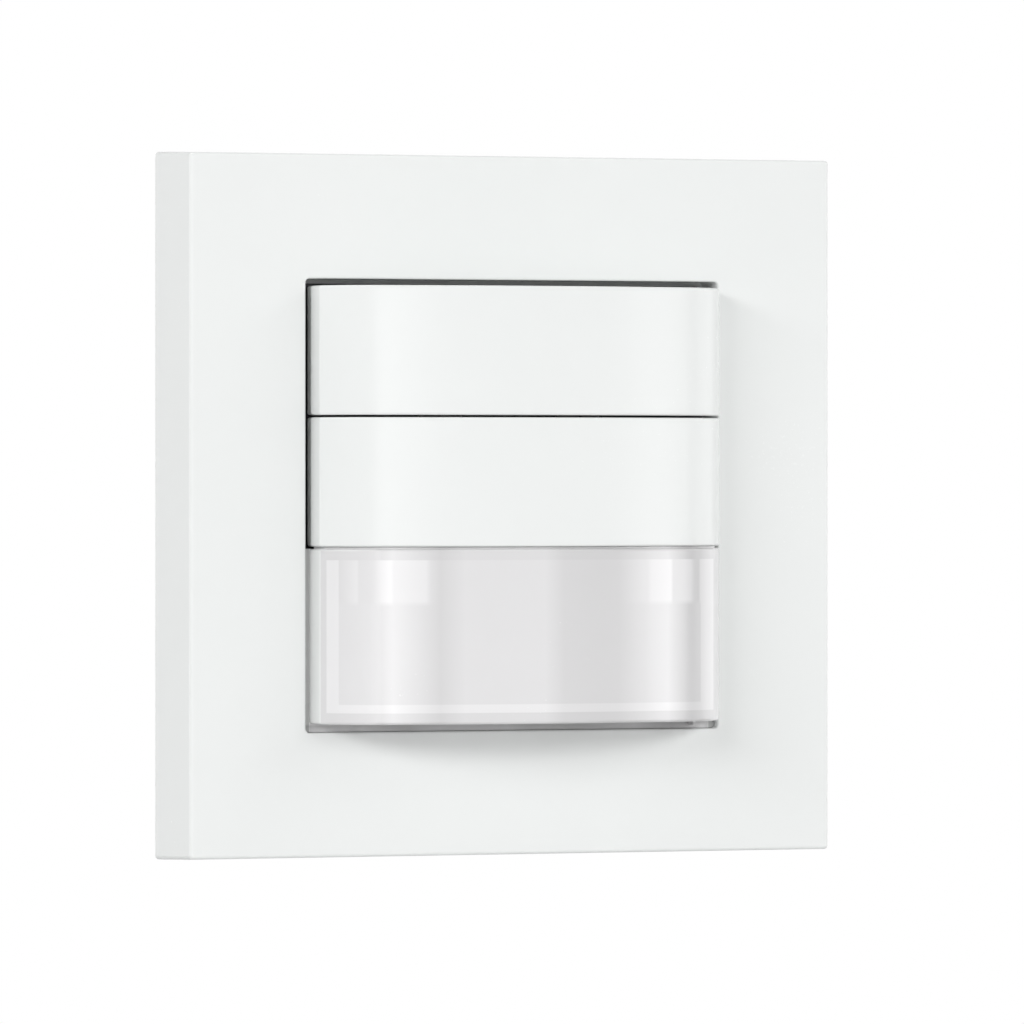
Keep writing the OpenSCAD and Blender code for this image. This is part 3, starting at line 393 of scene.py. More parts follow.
# %% Make the cases
dark_ferrite = moulded("dark_ferrite", (0.03, 0.024, 0.02), (0.05, 0.042, 0.036), (0.5, 0.7),
                       grain=1200.0, strength=0.4)
yellow_case = moulded("yellow_case", (0.5, 0.36, 0.03), (0.56, 0.42, 0.045), (0.3, 0.42))
blue_sleeve = moulded("blue_sleeve", (0.012, 0.022, 0.12), (0.02, 0.032, 0.16), (0.2, 0.3))
print("made", dark_ferrite.name, yellow_case.name, blue_sleeve.name)

# %% [markdown]
# ## Metals
# The ring, claws and screws are zinc-plated steel, dull and cloudy with brighter edges where the
# sheet was cut. Nuts, rivets and pins are brass. Both use the rolled metal group.

# %% Make the metals
zinc_plate = metal("zinc_plate", (0.5, 0.51, 0.53), (0.62, 0.63, 0.64), (0.26, 0.42),
                   edge=(0.78, 0.79, 0.8))
bright_brass = metal("bright_brass", (0.55, 0.38, 0.13), (0.66, 0.48, 0.18), (0.22, 0.36),
                     edge=(0.82, 0.66, 0.34))
print("metals:", zinc_plate.name, bright_brass.name)

# %% [markdown]
# ## Circuit board and signal lamp
# The boards are green solder mask over copper: where a track runs underneath, the green is a
# little lighter and stands up by a hair. A brick pattern with offset rows reads as tracks. The
# signal lamp is clear red resin, so it lets light through.

# %% Make the board and lamp finishes
solder_mask, tree, shader = start_finish("solder_mask", Coat_Weight=0.3, Coat_Roughness=0.2)
place = put(tree, "TexCoord").outputs["Object"]
facing = put(tree, "Mapping", Vector=place, Rotation=(math.radians(90), 0.0, 0.0))
tracks = put(tree, "TexBrick", {"offset": 0.5}, Vector=facing.outputs["Vector"], Scale=240.0,
             Mortar_Size=0.03, Mortar_Smooth=0.2)
skin = use_group(tree, moulded_skin, Grain=1800.0)
mask_green = between(tree, spread(tree, skin["Tone"], 0.0, 1.0),
                     (0.012, 0.09, 0.035), (0.016, 0.11, 0.045))
track_green = (0.03, 0.2, 0.08)
tree.links.new(between(tree, tracks.outputs["Fac"], mask_green, track_green), shader.inputs["Base Color"])
tree.links.new(spread(tree, skin["Gloss"], 0.28, 0.4), shader.inputs["Roughness"])
bump(tree, shader, tracks.outputs["Fac"], strength=0.3, distance=0.03 * MM)

red_resin = moulded("red_resin", (0.6, 0.03, 0.03), (0.68, 0.045, 0.04), (0.08, 0.16),
                    Transmission_Weight=0.4)
print("boards and lamp:", solder_mask.name, red_resin.name)

# %% [markdown]
# ## Milky lens
# The lens is a thin shell of milky plastic with flat segments inside. Light goes in, scatters and
# comes back from the segments, so it looks like a soft grey with upright paler bands. Scattered
# light takes long to render and is lost in an exported model, so the bands are painted here: one
# ramp across the plain lower part, and one across the upper row of segments that only shows inside
# its rectangle. The same ramps hold painted highlights and painted reflections: pale stripes where
# the bow and the inner segments mirror the lamps, and darker bands between them. A shell reflects
# at both of its faces, so its index of refraction is set higher than that of solid plastic.

# %% Paint the milky lens


def ramp(tree, along, *stops):
    """A grey that changes along a coordinate; each stop is a place in millimetres and a grey."""
    first, last = stops[0][0], stops[-1][0]
    share = put(tree, "MapRange", Value=along, From_Min=first * MM, From_Max=last * MM)
    node = put(tree, "ValToRGB", Fac=share.outputs["Result"])
    elements = node.color_ramp.elements
    for at, grey in stops[1:-1]:
        elements.new((at - first) / (last - first))
    for element, (at, grey) in zip(elements, stops):
        element.color = (grey, grey, grey, 1.0)
    return node.outputs["Color"]


def within(tree, place, x, z, soft=0.12, soft_below=0.12):
    """A mask that is 1 inside a rectangle of the front, given in millimetres, with soft edges."""
    edges = (("X", x[0], soft), ("X", x[1], -soft), ("Z", z[0], soft_below), ("Z", z[1], -soft))
    mask = 1.0
    for label, edge, width in edges:
        step = put(tree, "MapRange", Value=place[label], From_Min=edge * MM,
                   From_Max=(edge + width) * MM)
        mask = math_node(tree, "MULTIPLY", step.outputs["Result"], mask)
    return mask


milky_lens, tree, shader = start_finish("milky_lens", IOR=1.9)
place = put(tree, "SeparateXYZ", Vector=put(tree, "TexCoord").outputs["Object"]).outputs
pane_x = (-23.65, 20.5)
pane_top = -6.1
row_bottom = -11.4
# These stops are the milky grey with painted highlights and painted reflections of the lamps: paler where
# the bow or a segment mirrors a lamp, darker between.
middle = ((-12.9, 0.64), (-10, 0.745), (-0.4, 0.765), (2, 0.675), (9, 0.625))
plain = ramp(tree, place["X"], (-25, 0.74), (-23.9, 0.74), (-23.4, 0.75), (-20.5, 0.785), (-19.5, 0.71),
             (-18.3, 0.79), *middle, (12.5, 0.67), (15.7, 0.78), (18.3, 0.615), (20.4, 0.585), (22, 0.7),
             (23, 0.875), (24.1, 0.85), (25, 0.7))
upper_row_tone_and_glints = ramp(tree, place["X"], (-23.7, 0.72), (-22, 0.82), (-21.8, 0.765), (-19.8, 0.775),
               (-18.6, 0.88), (-18.2, 0.82), (-14.6, 0.775), (-14, 0.69), *middle, (12.9, 0.705),
               (13.4, 0.765), (16.1, 0.865), (16.4, 0.74), (18.9, 0.73), (19.5, 0.6), (20.1, 0.55),
               (20.4, 0.65))
top_row = within(tree, place, pane_x, (row_bottom, pane_top), soft_below=0.6)
bands_and_highlights = between(tree, top_row, plain, upper_row_tone_and_glints)
print("lens rows painted, lens finish has", len(tree.nodes), "nodes")

# %% [markdown]
# The thick wall round the lens shows through as a grey border, and inside it, at the sides and
# below, the chamfer of the rim shows as a pale line. Both are rectangles with nearly sharp edges.
# The outer side wall is painted the palest, as painted light against the shade the gap throws on
# it, and the skirt is painted darker, as painted shade in the gap. Up the pane the grey also gets a
# little darker towards the top. In these two ramps `full` is the grey that changes nothing, so that
# there is room to go paler, and the product is scaled back at the end.

# %% Paint the rim and the skirt of the lens
border, line, full = 0.95, 1.11, 0.8
bordered = within(tree, place, (-24.6, 22.9), (-23.56, pane_top))
lined = within(tree, place, pane_x, (-22.6, pane_top))
level = math_node(tree, "ADD", math_node(tree, "MULTIPLY", bordered, line - border), border)
level = math_node(tree, "ADD", math_node(tree, "MULTIPLY", lined, 1.0 - line), level)
outward = math_node(tree, "ABSOLUTE", place["X"], 0.0)
# Painted light on the outer side wall, and painted shade on the skirt beside it.
side = ramp(tree, outward, (24.9, full), (24.98, 0.96), (25.01, 0.98), (25.06, 0.6))
# Painted shade on the skirt under the lens, and a little darker towards the top of the pane.
height_tone_and_skirt_shade = ramp(tree, place["Z"], (-25.6, 0.76), (-25.1, 0.54), (-24.8, full), (-18, full), (-6, 0.785))
milky_tone_and_painted_light = bands_and_highlights
for share in (level, side, height_tone_and_skirt_shade):
    milky_tone_and_painted_light = math_node(tree, "MULTIPLY", milky_tone_and_painted_light, share)
milky_tone_and_painted_light = math_node(tree, "MULTIPLY", milky_tone_and_painted_light, 1 / full ** 2)
print("rim and skirt painted, lens finish has", len(tree.nodes), "nodes")

# %% [markdown]
# Last comes the tint: the pane is a trace rosier than the frame, and its side wall is as cool.
# The moulded skin gives the fine grain. It is finer and shallower here than on the covers, because
# the mould of a lens is polished.

# %% Tint and finish the lens
pane_tint, wall_tint = (1.0, 0.992, 1.002), (0.985, 1.0, 0.992)
on_wall = put(tree, "MapRange", Value=outward, From_Min=24.9 * MM, From_Max=24.98 * MM)
tint = between(tree, on_wall.outputs["Result"], pane_tint, wall_tint)
tree.links.new(between(tree, milky_tone_and_painted_light, (0, 0, 0), tint), shader.inputs["Base Color"])
skin = use_group(tree, moulded_skin, Grain=2600.0, Drift=60.0)
tree.links.new(spread(tree, skin["Gloss"], 0.22, 0.28), shader.inputs["Roughness"])
bump(tree, shader, skin["Height"], strength=0.05, distance=0.01 * MM)
print("lens finish has", len(tree.nodes), "nodes")

# %% [markdown]
# ## Which finish goes where
# The record of the model names a material slot for every piece. One dictionary says which finish
# stands for which slot, so a piece made here and a piece that keeps its solid get theirs the same
# way.

# %% Pair the slots with the finishes
finish_of = {
    "cover_white": satin_white, "lens_milky": milky_lens, "inner_dark": dark_plastic,
    "dial_white": dial_plastic, "chamber_grey": chamber_plastic, "module_grey": housing_plastic,
    "terminal_white": terminal_plastic, "lever_orange": orange_plastic, "zinc_steel": zinc_plate,
    "brass": bright_brass, "board_green": solder_mask, "capacitor_yellow": yellow_case,
    "capacitor_blue": blue_sleeve, "ferrite": dark_ferrite, "led_red": red_resin,
}
slot_of = {part["node"]: part["material_slot"] for part in frame["record"]["subparts"]}
print(len(finish_of), "finishes for", len(slot_of), "nodes")

# %% [markdown]
# ## Mesh helpers
# A few helpers make all the shapes: `join_loops` joins loops of points with quads, `turned` lathes
# a piece about a line into the wall, and `block` is a box with softened edges.

# %% Define the shapes


def angles(start, end, steps):
    """Even steps from one angle to another, both included."""
    return [start + (end - start) * i / steps for i in range(steps + 1)]


def join_loops(bm, loops, chain=False, caps=False):
    """Join closed loops of points with quads: chain joins the last to the first, caps close the ends."""
    rows = [[bm.verts.new(p) for p in loop] for loop in loops]
    count = len(rows[0])
    pairs = list(zip(rows, rows[1:])) + ([(rows[-1], rows[0])] if chain else [])
    for low, high in pairs:
        for i in range(count):
            k = (i + 1) % count
            bm.faces.new((low[i], low[k], high[k], high[i]))
    if caps:
        bm.faces.new(rows[0])
        bm.faces.new(rows[-1])


def turned(bm, x, z, stations, steps=40):
    """Lathe (radius, y) stations about a line along Y."""
    round_about = angles(0, 2 * math.pi, steps)[:-1]
    join_loops(bm, [[Vector((x + r * math.cos(a), y, z + r * math.sin(a))) for a in round_about]
                    for r, y in stations], caps=True)


def block(bm, x, y, z, edge=0.1 * MM):
    """A box between two x, two y and two z, with its edges softened."""
    made = bmesh.ops.create_cube(bm, size=1.0)["verts"]
    for v in made:
        v.co = Vector(((x[0] + x[1]) / 2 + v.co.x * (x[1] - x[0]),
                       (y[0] + y[1]) / 2 + v.co.y * (y[1] - y[0]),
                       (z[0] + z[1]) / 2 + v.co.z * (z[1] - z[0])))
    edges = list({e for v in made for e in v.link_edges})
    bmesh.ops.bevel(bm, geom=edges, offset=edge, segments=2, profile=0.5, affect="EDGES")


print("shapes ready: loops, turned pieces and blocks")

# %% [markdown]
# The next helpers turn shapes into pieces. `carved` cuts shapes away, as a milling cutter would,
# and `settle` makes the object, gives it its finish and lets it ride on its body.

# %% Define how a piece is carved and settled


def loose_object(name, bm):
    """An object from a bmesh, which is used up."""
    bmesh.ops.recalc_face_normals(bm, faces=bm.faces)
    mesh = bpy.data.meshes.new(name)
    bm.to_mesh(mesh)
    bm.free()
    made = bpy.data.objects.new(name, mesh)
    scene.collection.objects.link(made)
    return made


def carved(bm, *cutters):
    """Cut closed shapes out of a closed shape, and return what is left."""
    whole = loose_object("whole", bm)
    tools = [loose_object("tool", cutter) for cutter in cutters]
    for tool in tools:
        cut = whole.modifiers.new("cut", "BOOLEAN")
        cut.operation, cut.solver, cut.object = "DIFFERENCE", "EXACT", tool
    left = bmesh.new()
    left.from_object(whole, bpy.context.evaluated_depsgraph_get())
    for spare in [whole, *tools]:
        mesh = spare.data
        bpy.data.objects.remove(spare)
        bpy.data.meshes.remove(mesh)
    return left


def settle(name, bm, body, node, crease=35):
    """Make the piece that stands for a node, smooth it, finish it and let it ride on its body."""
    piece = loose_object(name, bm)
    piece.data.shade_smooth()
    piece.data.set_sharp_from_angle(angle=math.radians(crease))
    piece.data.materials.append(finish_of[slot_of[node]])
    piece.modifiers.new("weighted", "WEIGHTED_NORMAL").keep_sharp = True
    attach(piece, body)
    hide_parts(node)
    print("made", name, "with", len(piece.data.polygons), "faces")
    return piece


print("pieces can be carved and settled")

# %% [markdown]
# ## Cover frame
# The frame is a square tray with a window, moulded in one go. Its outline changes step by step
# from the wall forwards, over the rounded front edge, across the face, down the window and back
# behind the face. One closed chain of rounded squares follows that route, so the whole frame is
# one watertight skin with true round edges.

# %% Build the cover frame
face_half = frame_half - flare
edge_r = 0.4 * MM
lip_r = 0.25 * MM
corner_r = 0.45 * MM
window_half = half_w + 0.8 * MM
window_r = 0.5 * MM
ledge_front = -5.6 * MM
ledge_rear = -4.4 * MM
ledge_half = 23.5 * MM
ledge_r = 1.0 * MM
collar_half = window_half + 1.4 * MM
collar_r = 1.4 * MM
plate_rear = y_face + 1.8 * MM
wall_in = face_half - 1.8 * MM
rim_r = 0.15 * MM


def rounded_square(half, radius, y, steps=8):
    """Points round a square in the wall's plane, with round corners."""
    points = []
    for turn in range(4):
        middle = math.radians(90 * turn + 45)
        x = math.copysign(half - radius, math.cos(middle))
        z = math.copysign(half - radius, math.sin(middle))
        for i in range(steps + 1):
            a = math.radians(90 * turn + 90 * i / steps)
            points.append(Vector((x + radius * math.cos(a), y, z + radius * math.sin(a))))
    return points


def quarter(steps=6):
    """Sine and cosine of a quarter turn in even steps."""
    return [(math.sin(a), math.cos(a)) for a in angles(0, math.pi / 2, steps)]


stations = [(frame_half - rim_r, corner_r - rim_r, 0.0), (frame_half, corner_r, -rim_r)]
for s, c in quarter():
    inward = edge_r * c - edge_r
    stations.append((face_half + inward, corner_r + inward, y_face + edge_r - edge_r * s))
for s, c in quarter(4):
    outward = lip_r - lip_r * s
    stations.append((window_half + outward, window_r + outward, y_face + lip_r - lip_r * c))
stations += [(window_half, window_r, ledge_front), (ledge_half, ledge_r, ledge_front),
             (ledge_half, ledge_r, ledge_rear), (collar_half, collar_r, ledge_rear),
             (collar_half, collar_r, plate_rear), (wall_in, corner_r, plate_rear),
             (wall_in, corner_r, 0.0)]
bm = bmesh.new()
join_loops(bm, [rounded_square(*s) for s in stations], chain=True)
print("frame chain has", len(stations), "squares")

# %% [markdown]
# Behind the face, thin ribs place the frame on the ring and stiffen the plate. They run into the
# walls a little, as moulded ribs do.

# %% Add the ribs and settle the frame
rib_in = 35.8 * MM
rib_z = wall_in / 2
rib_half = 0.6 * MM
rib_rear = -0.3 * MM
low_rib_rear = plate_rear + 1.2 * MM
bite = 0.1 * MM
ribs = [((rib_in, wall_in + bite), (plate_rear - bite, rib_rear), rib_z),
        ((rib_in, wall_in + bite), (plate_rear - bite, rib_rear), -rib_z),
        ((collar_half - bite, wall_in + bite), (plate_rear - bite, low_rib_rear), 0.0)]
for span, depth, middle in ribs:
    low, high = middle - rib_half, middle + rib_half
    block(bm, span, depth, (low, high))
    block(bm, (-span[1], -span[0]), depth, (low, high))
    block(bm, (low, high), depth, span)
    block(bm, (low, high), depth, (-span[1], -span[0]))
settle("cover_frame_skin", bm, "base", "cover_frame")

# %% [markdown]
# ## The bow
# Keys and lens share one bowed section: a side wall, a small rounding, the shoulder and the long
# crown, then the same mirrored. Setting every radius back by one amount gives an even skin, so
# one function makes the outside, the inside and the rounded ends.

# %% Define the bowed outline
edge_round = 0.7 * MM
least_round = 0.05 * MM
undercut = 0.3 * MM
crown_steps, shoulder_steps, round_steps, end_steps = 28, 22, 6, 5


def bow_outline(inset, rear, rim=None):
    """Half the section from the middle to the rear of the right side, undercut behind a rim if given."""
    crown, shoulder = crown_r - inset, shoulder_r - inset
    side = half_w - inset
    small = max(edge_round - inset, least_round)
    lean = math.asin((side - small - shoulder_x) / (shoulder - small))
    small_y = shoulder_y - (shoulder - small) * math.cos(lean)
    points = [(crown * math.sin(a), crown_y - crown * math.cos(a))
              for a in angles(0, bow_angle, crown_steps)[:-1]]
    points += [(shoulder_x + shoulder * math.sin(a), shoulder_y - shoulder * math.cos(a))
               for a in angles(bow_angle, lean, shoulder_steps)[:-1]]
    points += [(side - small + small * math.sin(a), small_y - small * math.cos(a))
               for a in angles(lean, math.pi / 2, round_steps)]
    if rim is None:
        return points + [(side, rear)]
    return points + [(side, rim), (side - undercut, rim), (side - undercut, rear)]


def bow_loop(inset, rear, z, rim=None):
    """The whole section at one height, closed at the rear."""
    right = bow_outline(inset, rear, rim)
    left = [(-x, y) for x, y in reversed(right[1:])]
    return [Vector((x, y, z)) for x, y in left + right]


def bowed_solid(low, high, rear, end_r, rim=None):
    """The bow between two heights, with its top and bottom edges rounded."""
    turn = quarter(end_steps)
    loops = [bow_loop(end_r - end_r * s, rear, low + end_r - end_r * c, rim) for s, c in turn]
    loops += [bow_loop(end_r - end_r * s, rear, high - end_r + end_r * c, rim) for s, c in reversed(turn)]
    bm = bmesh.new()
    join_loops(bm, loops, caps=True)
    return bm


def box_shape(x, y, z):
    """A plain box to cut with."""
    bm = bmesh.new()
    block(bm, x, y, z, edge=0.01 * MM)
    return bm


print("bow has", len(bow_loop(0.0, y_face, 0.0)), "points round")

# %% [markdown]
# ## Push keys
# A key is a bowed shell, open at the rear. It is the bowed solid with a smaller bow carved out of
# it. Behind a narrow rim its side walls step back a little, so the gap to the frame gets wider
# inside. That makes the gap look dark with a sharp edge, as it does in the photograph.

# %% Define the shell of a key
key_skin = 1.5 * MM
key_wall = 1.2 * MM
key_end_r = 0.28 * MM
side_rear = -7.8 * MM
wall_rear = -10.0 * MM
rim_rear = y_face + 0.5 * MM


def key_shell(low, high):
    """The bowed skin of a key between two heights."""
    inner = half_w - key_skin
    hollow = bmesh.new()
    join_loops(hollow, [bow_loop(key_skin, side_rear + MM, z) for z in (low + key_wall, high - key_wall)],
               caps=True)
    relief = box_shape((-inner, inner), (wall_rear, side_rear + MM), (low - MM, high + MM))
    return carved(bowed_solid(low, high, side_rear, key_end_r, rim=rim_rear), hollow, relief)


print("key skin is", round(key_skin / MM, 2), "mm thick")

# %% [markdown]
# Behind the skin a post presses the switch, two crossed ribs stiffen the skin, two cups take the
# return springs, and two legs hook under the deck so that the key can't fall out. All of them
# start inside the skin, which makes one moulding of them.

# %% Build the keys
y_crown = crown_y - crown_r
root = y_crown + key_skin / 2
post_r = 2.0 * MM
post_end = -9.95 * MM
post_edge = 0.3 * MM
thin = 0.5 * MM
cross_rib_half = 9 * MM
cross_rib_rear = y_crown + key_skin + 2.4 * MM
upright_rib_rear = y_crown + key_skin + 4 * MM
spring_x = 15.0 * MM
spring_seat = -13.2 * MM
cup_in = 2.25 * MM
cup_r = 2.9 * MM
cup_edge = 0.15 * MM
cup_rear = spring_seat + MM
cup = [(cup_in, spring_seat), (cup_in, spring_seat + 0.9 * MM), (cup_in + cup_edge, cup_rear),
       (cup_r - cup_edge, cup_rear), (cup_r, cup_rear - cup_edge), (cup_r, root + 1.6 * MM)]
leg_x = 19.2 * MM
leg_half = 1.8 * MM
leg_front = root + 1.9 * MM
leg_rear = -6.4 * MM
hook_reach = 1.2 * MM
hook_front = leg_rear - 0.8 * MM


def build_key(name, low, high):
    """One push key between two heights."""
    middle = (low + high) / 2
    bm = key_shell(low, high)
    turned(bm, 0.0, middle, [(post_r, root), (post_r, post_end - post_edge),
                             (post_r - post_edge, post_end)])
    block(bm, (-cross_rib_half, cross_rib_half), (root, cross_rib_rear), (middle - thin, middle + thin))
    block(bm, (-thin, thin), (root, upright_rib_rear), (low + key_wall / 2, high - key_wall / 2))
    across = (middle - leg_half, middle + leg_half)
    for side in (-1, 1):
        turned(bm, side * spring_x, middle, cup)
        leg = sorted((side * (leg_x - thin), side * (leg_x + thin)))
        hook = sorted((side * leg_x, side * (leg_x + hook_reach)))
        block(bm, leg, (leg_front, leg_rear), across)
        block(bm, hook, (hook_front, leg_rear), across)
    settle(name + "_shell", bm, name, name, crease=30)


build_key("upper_key", upper_low.z, upper_high.z)
build_key("lower_key", lower_low.z, lower_high.z)

# %% [markdown]
# ## Sensor lens
# The lens continues the bow, but it is a thin milky shell. Its outside is smooth. Its inside is
# two rows of upright flat segments that share the room out for the motion sensor, and a chamfer
# that makes the lower rim thick. The two rows are carved out one after the other. A skirt round
# the sides and the bottom closes the gap to the frame.

# %% Build the lens
lens_bottom = 0.2 * MM - half_w
lens_top = lens_high.z
lens_skin = 1.1 * MM
lens_wall = 1.0 * MM
lens_end_r = 0.3 * MM
rim_chamfer = 0.9 * MM
upper_segments, lower_segments = 13, 9
row_split = lens_top - lens_wall - 5.2 * MM
overlap = 0.01 * MM
deck_front = -9.0 * MM
lens_rear = -6.85 * MM
lens_wall_rear = deck_front - 0.05 * MM


def segment_loop(segments, inset, z):
    """Inside of the lens at one height: flat segments of even length along its curve."""
    crown, radius = crown_r - inset, shoulder_r - inset
    lean = math.asin((half_w - inset - shoulder_x) / radius)
    crown_l = crown * bow_angle
    half_l = crown_l + radius * (lean - bow_angle)
    side = half_w - inset
    points = [Vector((-side, lens_rear + MM, z))]
    for i in range(segments + 1):
        share = 2 * i / segments - 1
        run = abs(share) * half_l
        if run <= crown_l:
            x, y = crown * math.sin(run / crown), crown_y - crown * math.cos(run / crown)
        else:
            a = bow_angle + (run - crown_l) / radius
            x, y = shoulder_x + radius * math.sin(a), shoulder_y - radius * math.cos(a)
        points.append(Vector((math.copysign(x, share), y, z)))
    return points + [Vector((side, lens_rear + MM, z))]


inside_top, inside_bottom = lens_top - lens_wall, lens_bottom + lens_wall
upper_row = bmesh.new()
join_loops(upper_row, [segment_loop(upper_segments, lens_skin, row_split),
                       segment_loop(upper_segments, lens_skin, inside_top)], caps=True)
lower_row = bmesh.new()
join_loops(lower_row, [segment_loop(lower_segments, lens_skin + rim_chamfer, inside_bottom),
                       segment_loop(lower_segments, lens_skin, inside_bottom + rim_chamfer),
                       segment_loop(lower_segments, lens_skin, row_split + overlap)], caps=True)
inner = half_w - lens_skin
relief = box_shape((-inner, inner), (lens_wall_rear, lens_rear + MM), (inside_bottom, lens_top + MM))
bm = carved(bowed_solid(lens_bottom, lens_top, lens_rear, lens_end_r), upper_row, lower_row, relief)
print("lens shell carved:", len(bm.faces), "faces")

# %% [markdown]
# Between the lower key and the lens the photograph shows a thin grey line and not a dark slit. A
# low lip along the top of the lens closes the slit just below the surface. It ends a hair short
# of the key, so the key still moves freely.

# %% Add the lip along the top
lip_inset = 0.55 * MM
lip_top = lower_low.z - 0.03 * MM
lip_root = lens_top - 0.4 * MM
join_loops(bm, [bow_loop(lip_inset, lens_wall_rear, z) for z in (lip_root, lip_top)], caps=True)
print("lip is", round((lip_top - lens_top) / MM, 2), "mm high")

# %% [markdown]
# A skirt closes the gap to the frame at the sides and below, which is why that gap looks grey and
# not black. It is one U-shaped plate. A small rib under the lens makes sure it goes in only one
# way round.

# %% Add the skirt and settle the lens
skirt_reach = window_half - 0.05 * MM
skirt_in = half_w - 0.5 * MM
skirt_depth = (deck_front, deck_front + 0.6 * MM)
skirt = [(-skirt_reach, lens_top), (-skirt_reach, -skirt_reach), (skirt_reach, -skirt_reach),
         (skirt_reach, lens_top), (skirt_in, lens_top), (skirt_in, -skirt_in), (-skirt_in, -skirt_in),
         (-skirt_in, lens_top)]
join_loops(bm, [[Vector((x, y, z)) for x, z in skirt] for y in skirt_depth], caps=True)
key_rib_x = half_w - 2.4 * MM
key_rib_half = 0.2 * MM
block(bm, (key_rib_x - key_rib_half, key_rib_x + key_rib_half),
      (y_face - 0.5 * MM, deck_front + bite), (lens_bottom - 0.6 * MM, lens_bottom + 0.2 * MM))
settle("sensor_lens_shell", bm, "base", "sensor_lens", crease=30)

# %% [markdown]
# ## Return springs
# Each key rests on two small coil springs. A coil is a round wire that follows a helix, so its
# skin is made of small circles set along the helix. When a key is pressed its springs get
# shorter. Each pair of coils gets a mesh of its own.

# %% Wind the springs
wire_r = 0.2 * MM
coil_r = 1.8 * MM
wire_steps = 10
coil_turns = 4
steps_per_turn = 28


def wind(bm, x, z):
    """One coil between the deck and the key's cup."""
    low, high = deck_front - wire_r, spring_seat + wire_r
    count = coil_turns * steps_per_turn
    loops = []
    for i in range(count + 1):
        a = 2 * math.pi * i / steps_per_turn
        y = low + (high - low) * i / count
        wire = [(coil_r + wire_r * math.cos(b), y + wire_r * math.sin(b))
                for b in angles(0, 2 * math.pi, wire_steps)[:-1]]
        loops.append([Vector((x + r * math.cos(a), at, z + r * math.sin(a))) for r, at in wire])
    join_loops(bm, loops, caps=True)


for key, low, high in (("upper_key", upper_low, upper_high), ("lower_key", lower_low, lower_high)):
    bm = bmesh.new()
    for side in (-1, 1):
        wind(bm, side * spring_x, (low.z + high.z) / 2)
    coils = settle(key + "_coils", bm, "base", key + "_springs", crease=60)
    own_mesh(coils)

# %% [markdown]
# ## Claw screws
# The claws spread when their long screws are turned. On the real switch this is a machine screw
# with a fine thread and a cross recess. The thread is a ridge that climbs along a helix: each
# loop runs once round the screw while its radius rises and falls with the pitch.

# %% Cut the claw screws
claw_x = 24.2 * MM
claw_z = -9.0 * MM
thread_r = 1.5 * MM
thread_depth = 0.3 * MM
pitch = 0.5 * MM
ring_front = -1.2 * MM
screw_end = 18.5 * MM
tip = 0.5 * MM
head_r = 2.7 * MM
head_front = ring_front - 1.9 * MM
head_round = 0.75 * MM
head_edge = 0.1 * MM
recess_arm = 1.62 * MM
recess_half = 0.35 * MM
screw_steps = 24
loops_per_turn = 6


def thread_loop(y):
    """Points round the screw, high on the ridge and low in the groove."""
    points = []
    for i in range(screw_steps):
        a = 2 * math.pi * i / screw_steps
        share = (y / pitch + i / screw_steps) % 1.0
        r = thread_r - thread_depth * abs(2 * share - 1)
        points.append(Vector((r * math.cos(a), y, r * math.sin(a))))
    return points


def screw_head():
    """A pan head with a cross recess."""
    domed = [(head_r - head_round + head_round * c, head_front + head_round - head_round * s)
             for s, c in quarter()]
    head = bmesh.new()
    turned(head, 0, 0, [(head_r - head_edge, ring_front), (head_r, ring_front - head_edge),
                        (head_r, head_front + head_round), *domed, (0.2 * MM, head_front)])
    long, short = (-recess_arm, recess_arm), (-recess_half, recess_half)
    depth = (head_front - MM, head_front + MM)
    return carved(head, box_shape(long, depth, short), box_shape(short, depth, long))


def claw_screw(name, x):
    """A head on a threaded shank."""
    bm = screw_head()
    groove_r = thread_r - thread_depth
    first, last = 0.4 * MM, screw_end - tip
    count = round((last - first) / pitch) * loops_per_turn
    turned(bm, 0, 0, [(thread_r, ring_front - 0.05 * MM), (thread_r, first - thread_depth),
                      (groove_r, first)], steps=screw_steps)
    join_loops(bm, [thread_loop(first + (last - first) * i / count) for i in range(count + 1)],
               caps=True)
    turned(bm, 0, 0, [(groove_r, last), (thread_r - tip, screw_end)], steps=screw_steps)
    bmesh.ops.translate(bm, verts=bm.verts, vec=Vector((x, 0, claw_z)))
    settle(name + "_cut", bm, name, name, crease=28)


claw_screw("left_claw_screw", -claw_x)
claw_screw("right_claw_screw", claw_x)

# %% [markdown]
# ## All the other pieces
# The solids of the sensor head, the ring and the load module already have their true shapes.
# They only need what a real edge has, a small rounding. After the rounding, the faces have to look
# flat and the edges crisp. A small group of geometry nodes marks every edge that still bends by
# more than 25 degrees. As a modifier it leaves the solid's own mesh as it is.

# %% Build the edge marking group


def edges_by_angle(limit):
    """A modifier group that shades a mesh smooth and keeps the edges that are sharper than a limit."""
    group = bpy.data.node_groups.new("edges_by_angle", "GeometryNodeTree")
    for way in ("INPUT", "OUTPUT"):
        group.interface.new_socket(name="Mesh", in_out=way, socket_type="NodeSocketGeometry")
    entry, bend, above, smooth, sharp, leave = (group.nodes.new(kind) for kind in (
        "NodeGroupInput", "GeometryNodeInputMeshEdgeAngle", "FunctionNodeCompare",
        "GeometryNodeSetShadeSmooth", "GeometryNodeSetShadeSmooth", "NodeGroupOutput"))
    above.operation, above.inputs["B"].default_value = "GREATER_THAN", limit
    sharp.domain, sharp.inputs["Shade Smooth"].default_value = "EDGE", False
    link = group.links.new
    link(entry.outputs["Mesh"], smooth.inputs["Geometry"])
    link(smooth.outputs["Geometry"], sharp.inputs["Geometry"])
    link(bend.outputs["Unsigned Angle"], above.inputs["A"])
    link(above.outputs["Result"], sharp.inputs["Selection"])
    link(sharp.outputs["Geometry"], leave.inputs["Mesh"])
    return group


flat_faces = edges_by_angle(math.radians(25))
print("edge marking has", len(flat_faces.nodes), "nodes")

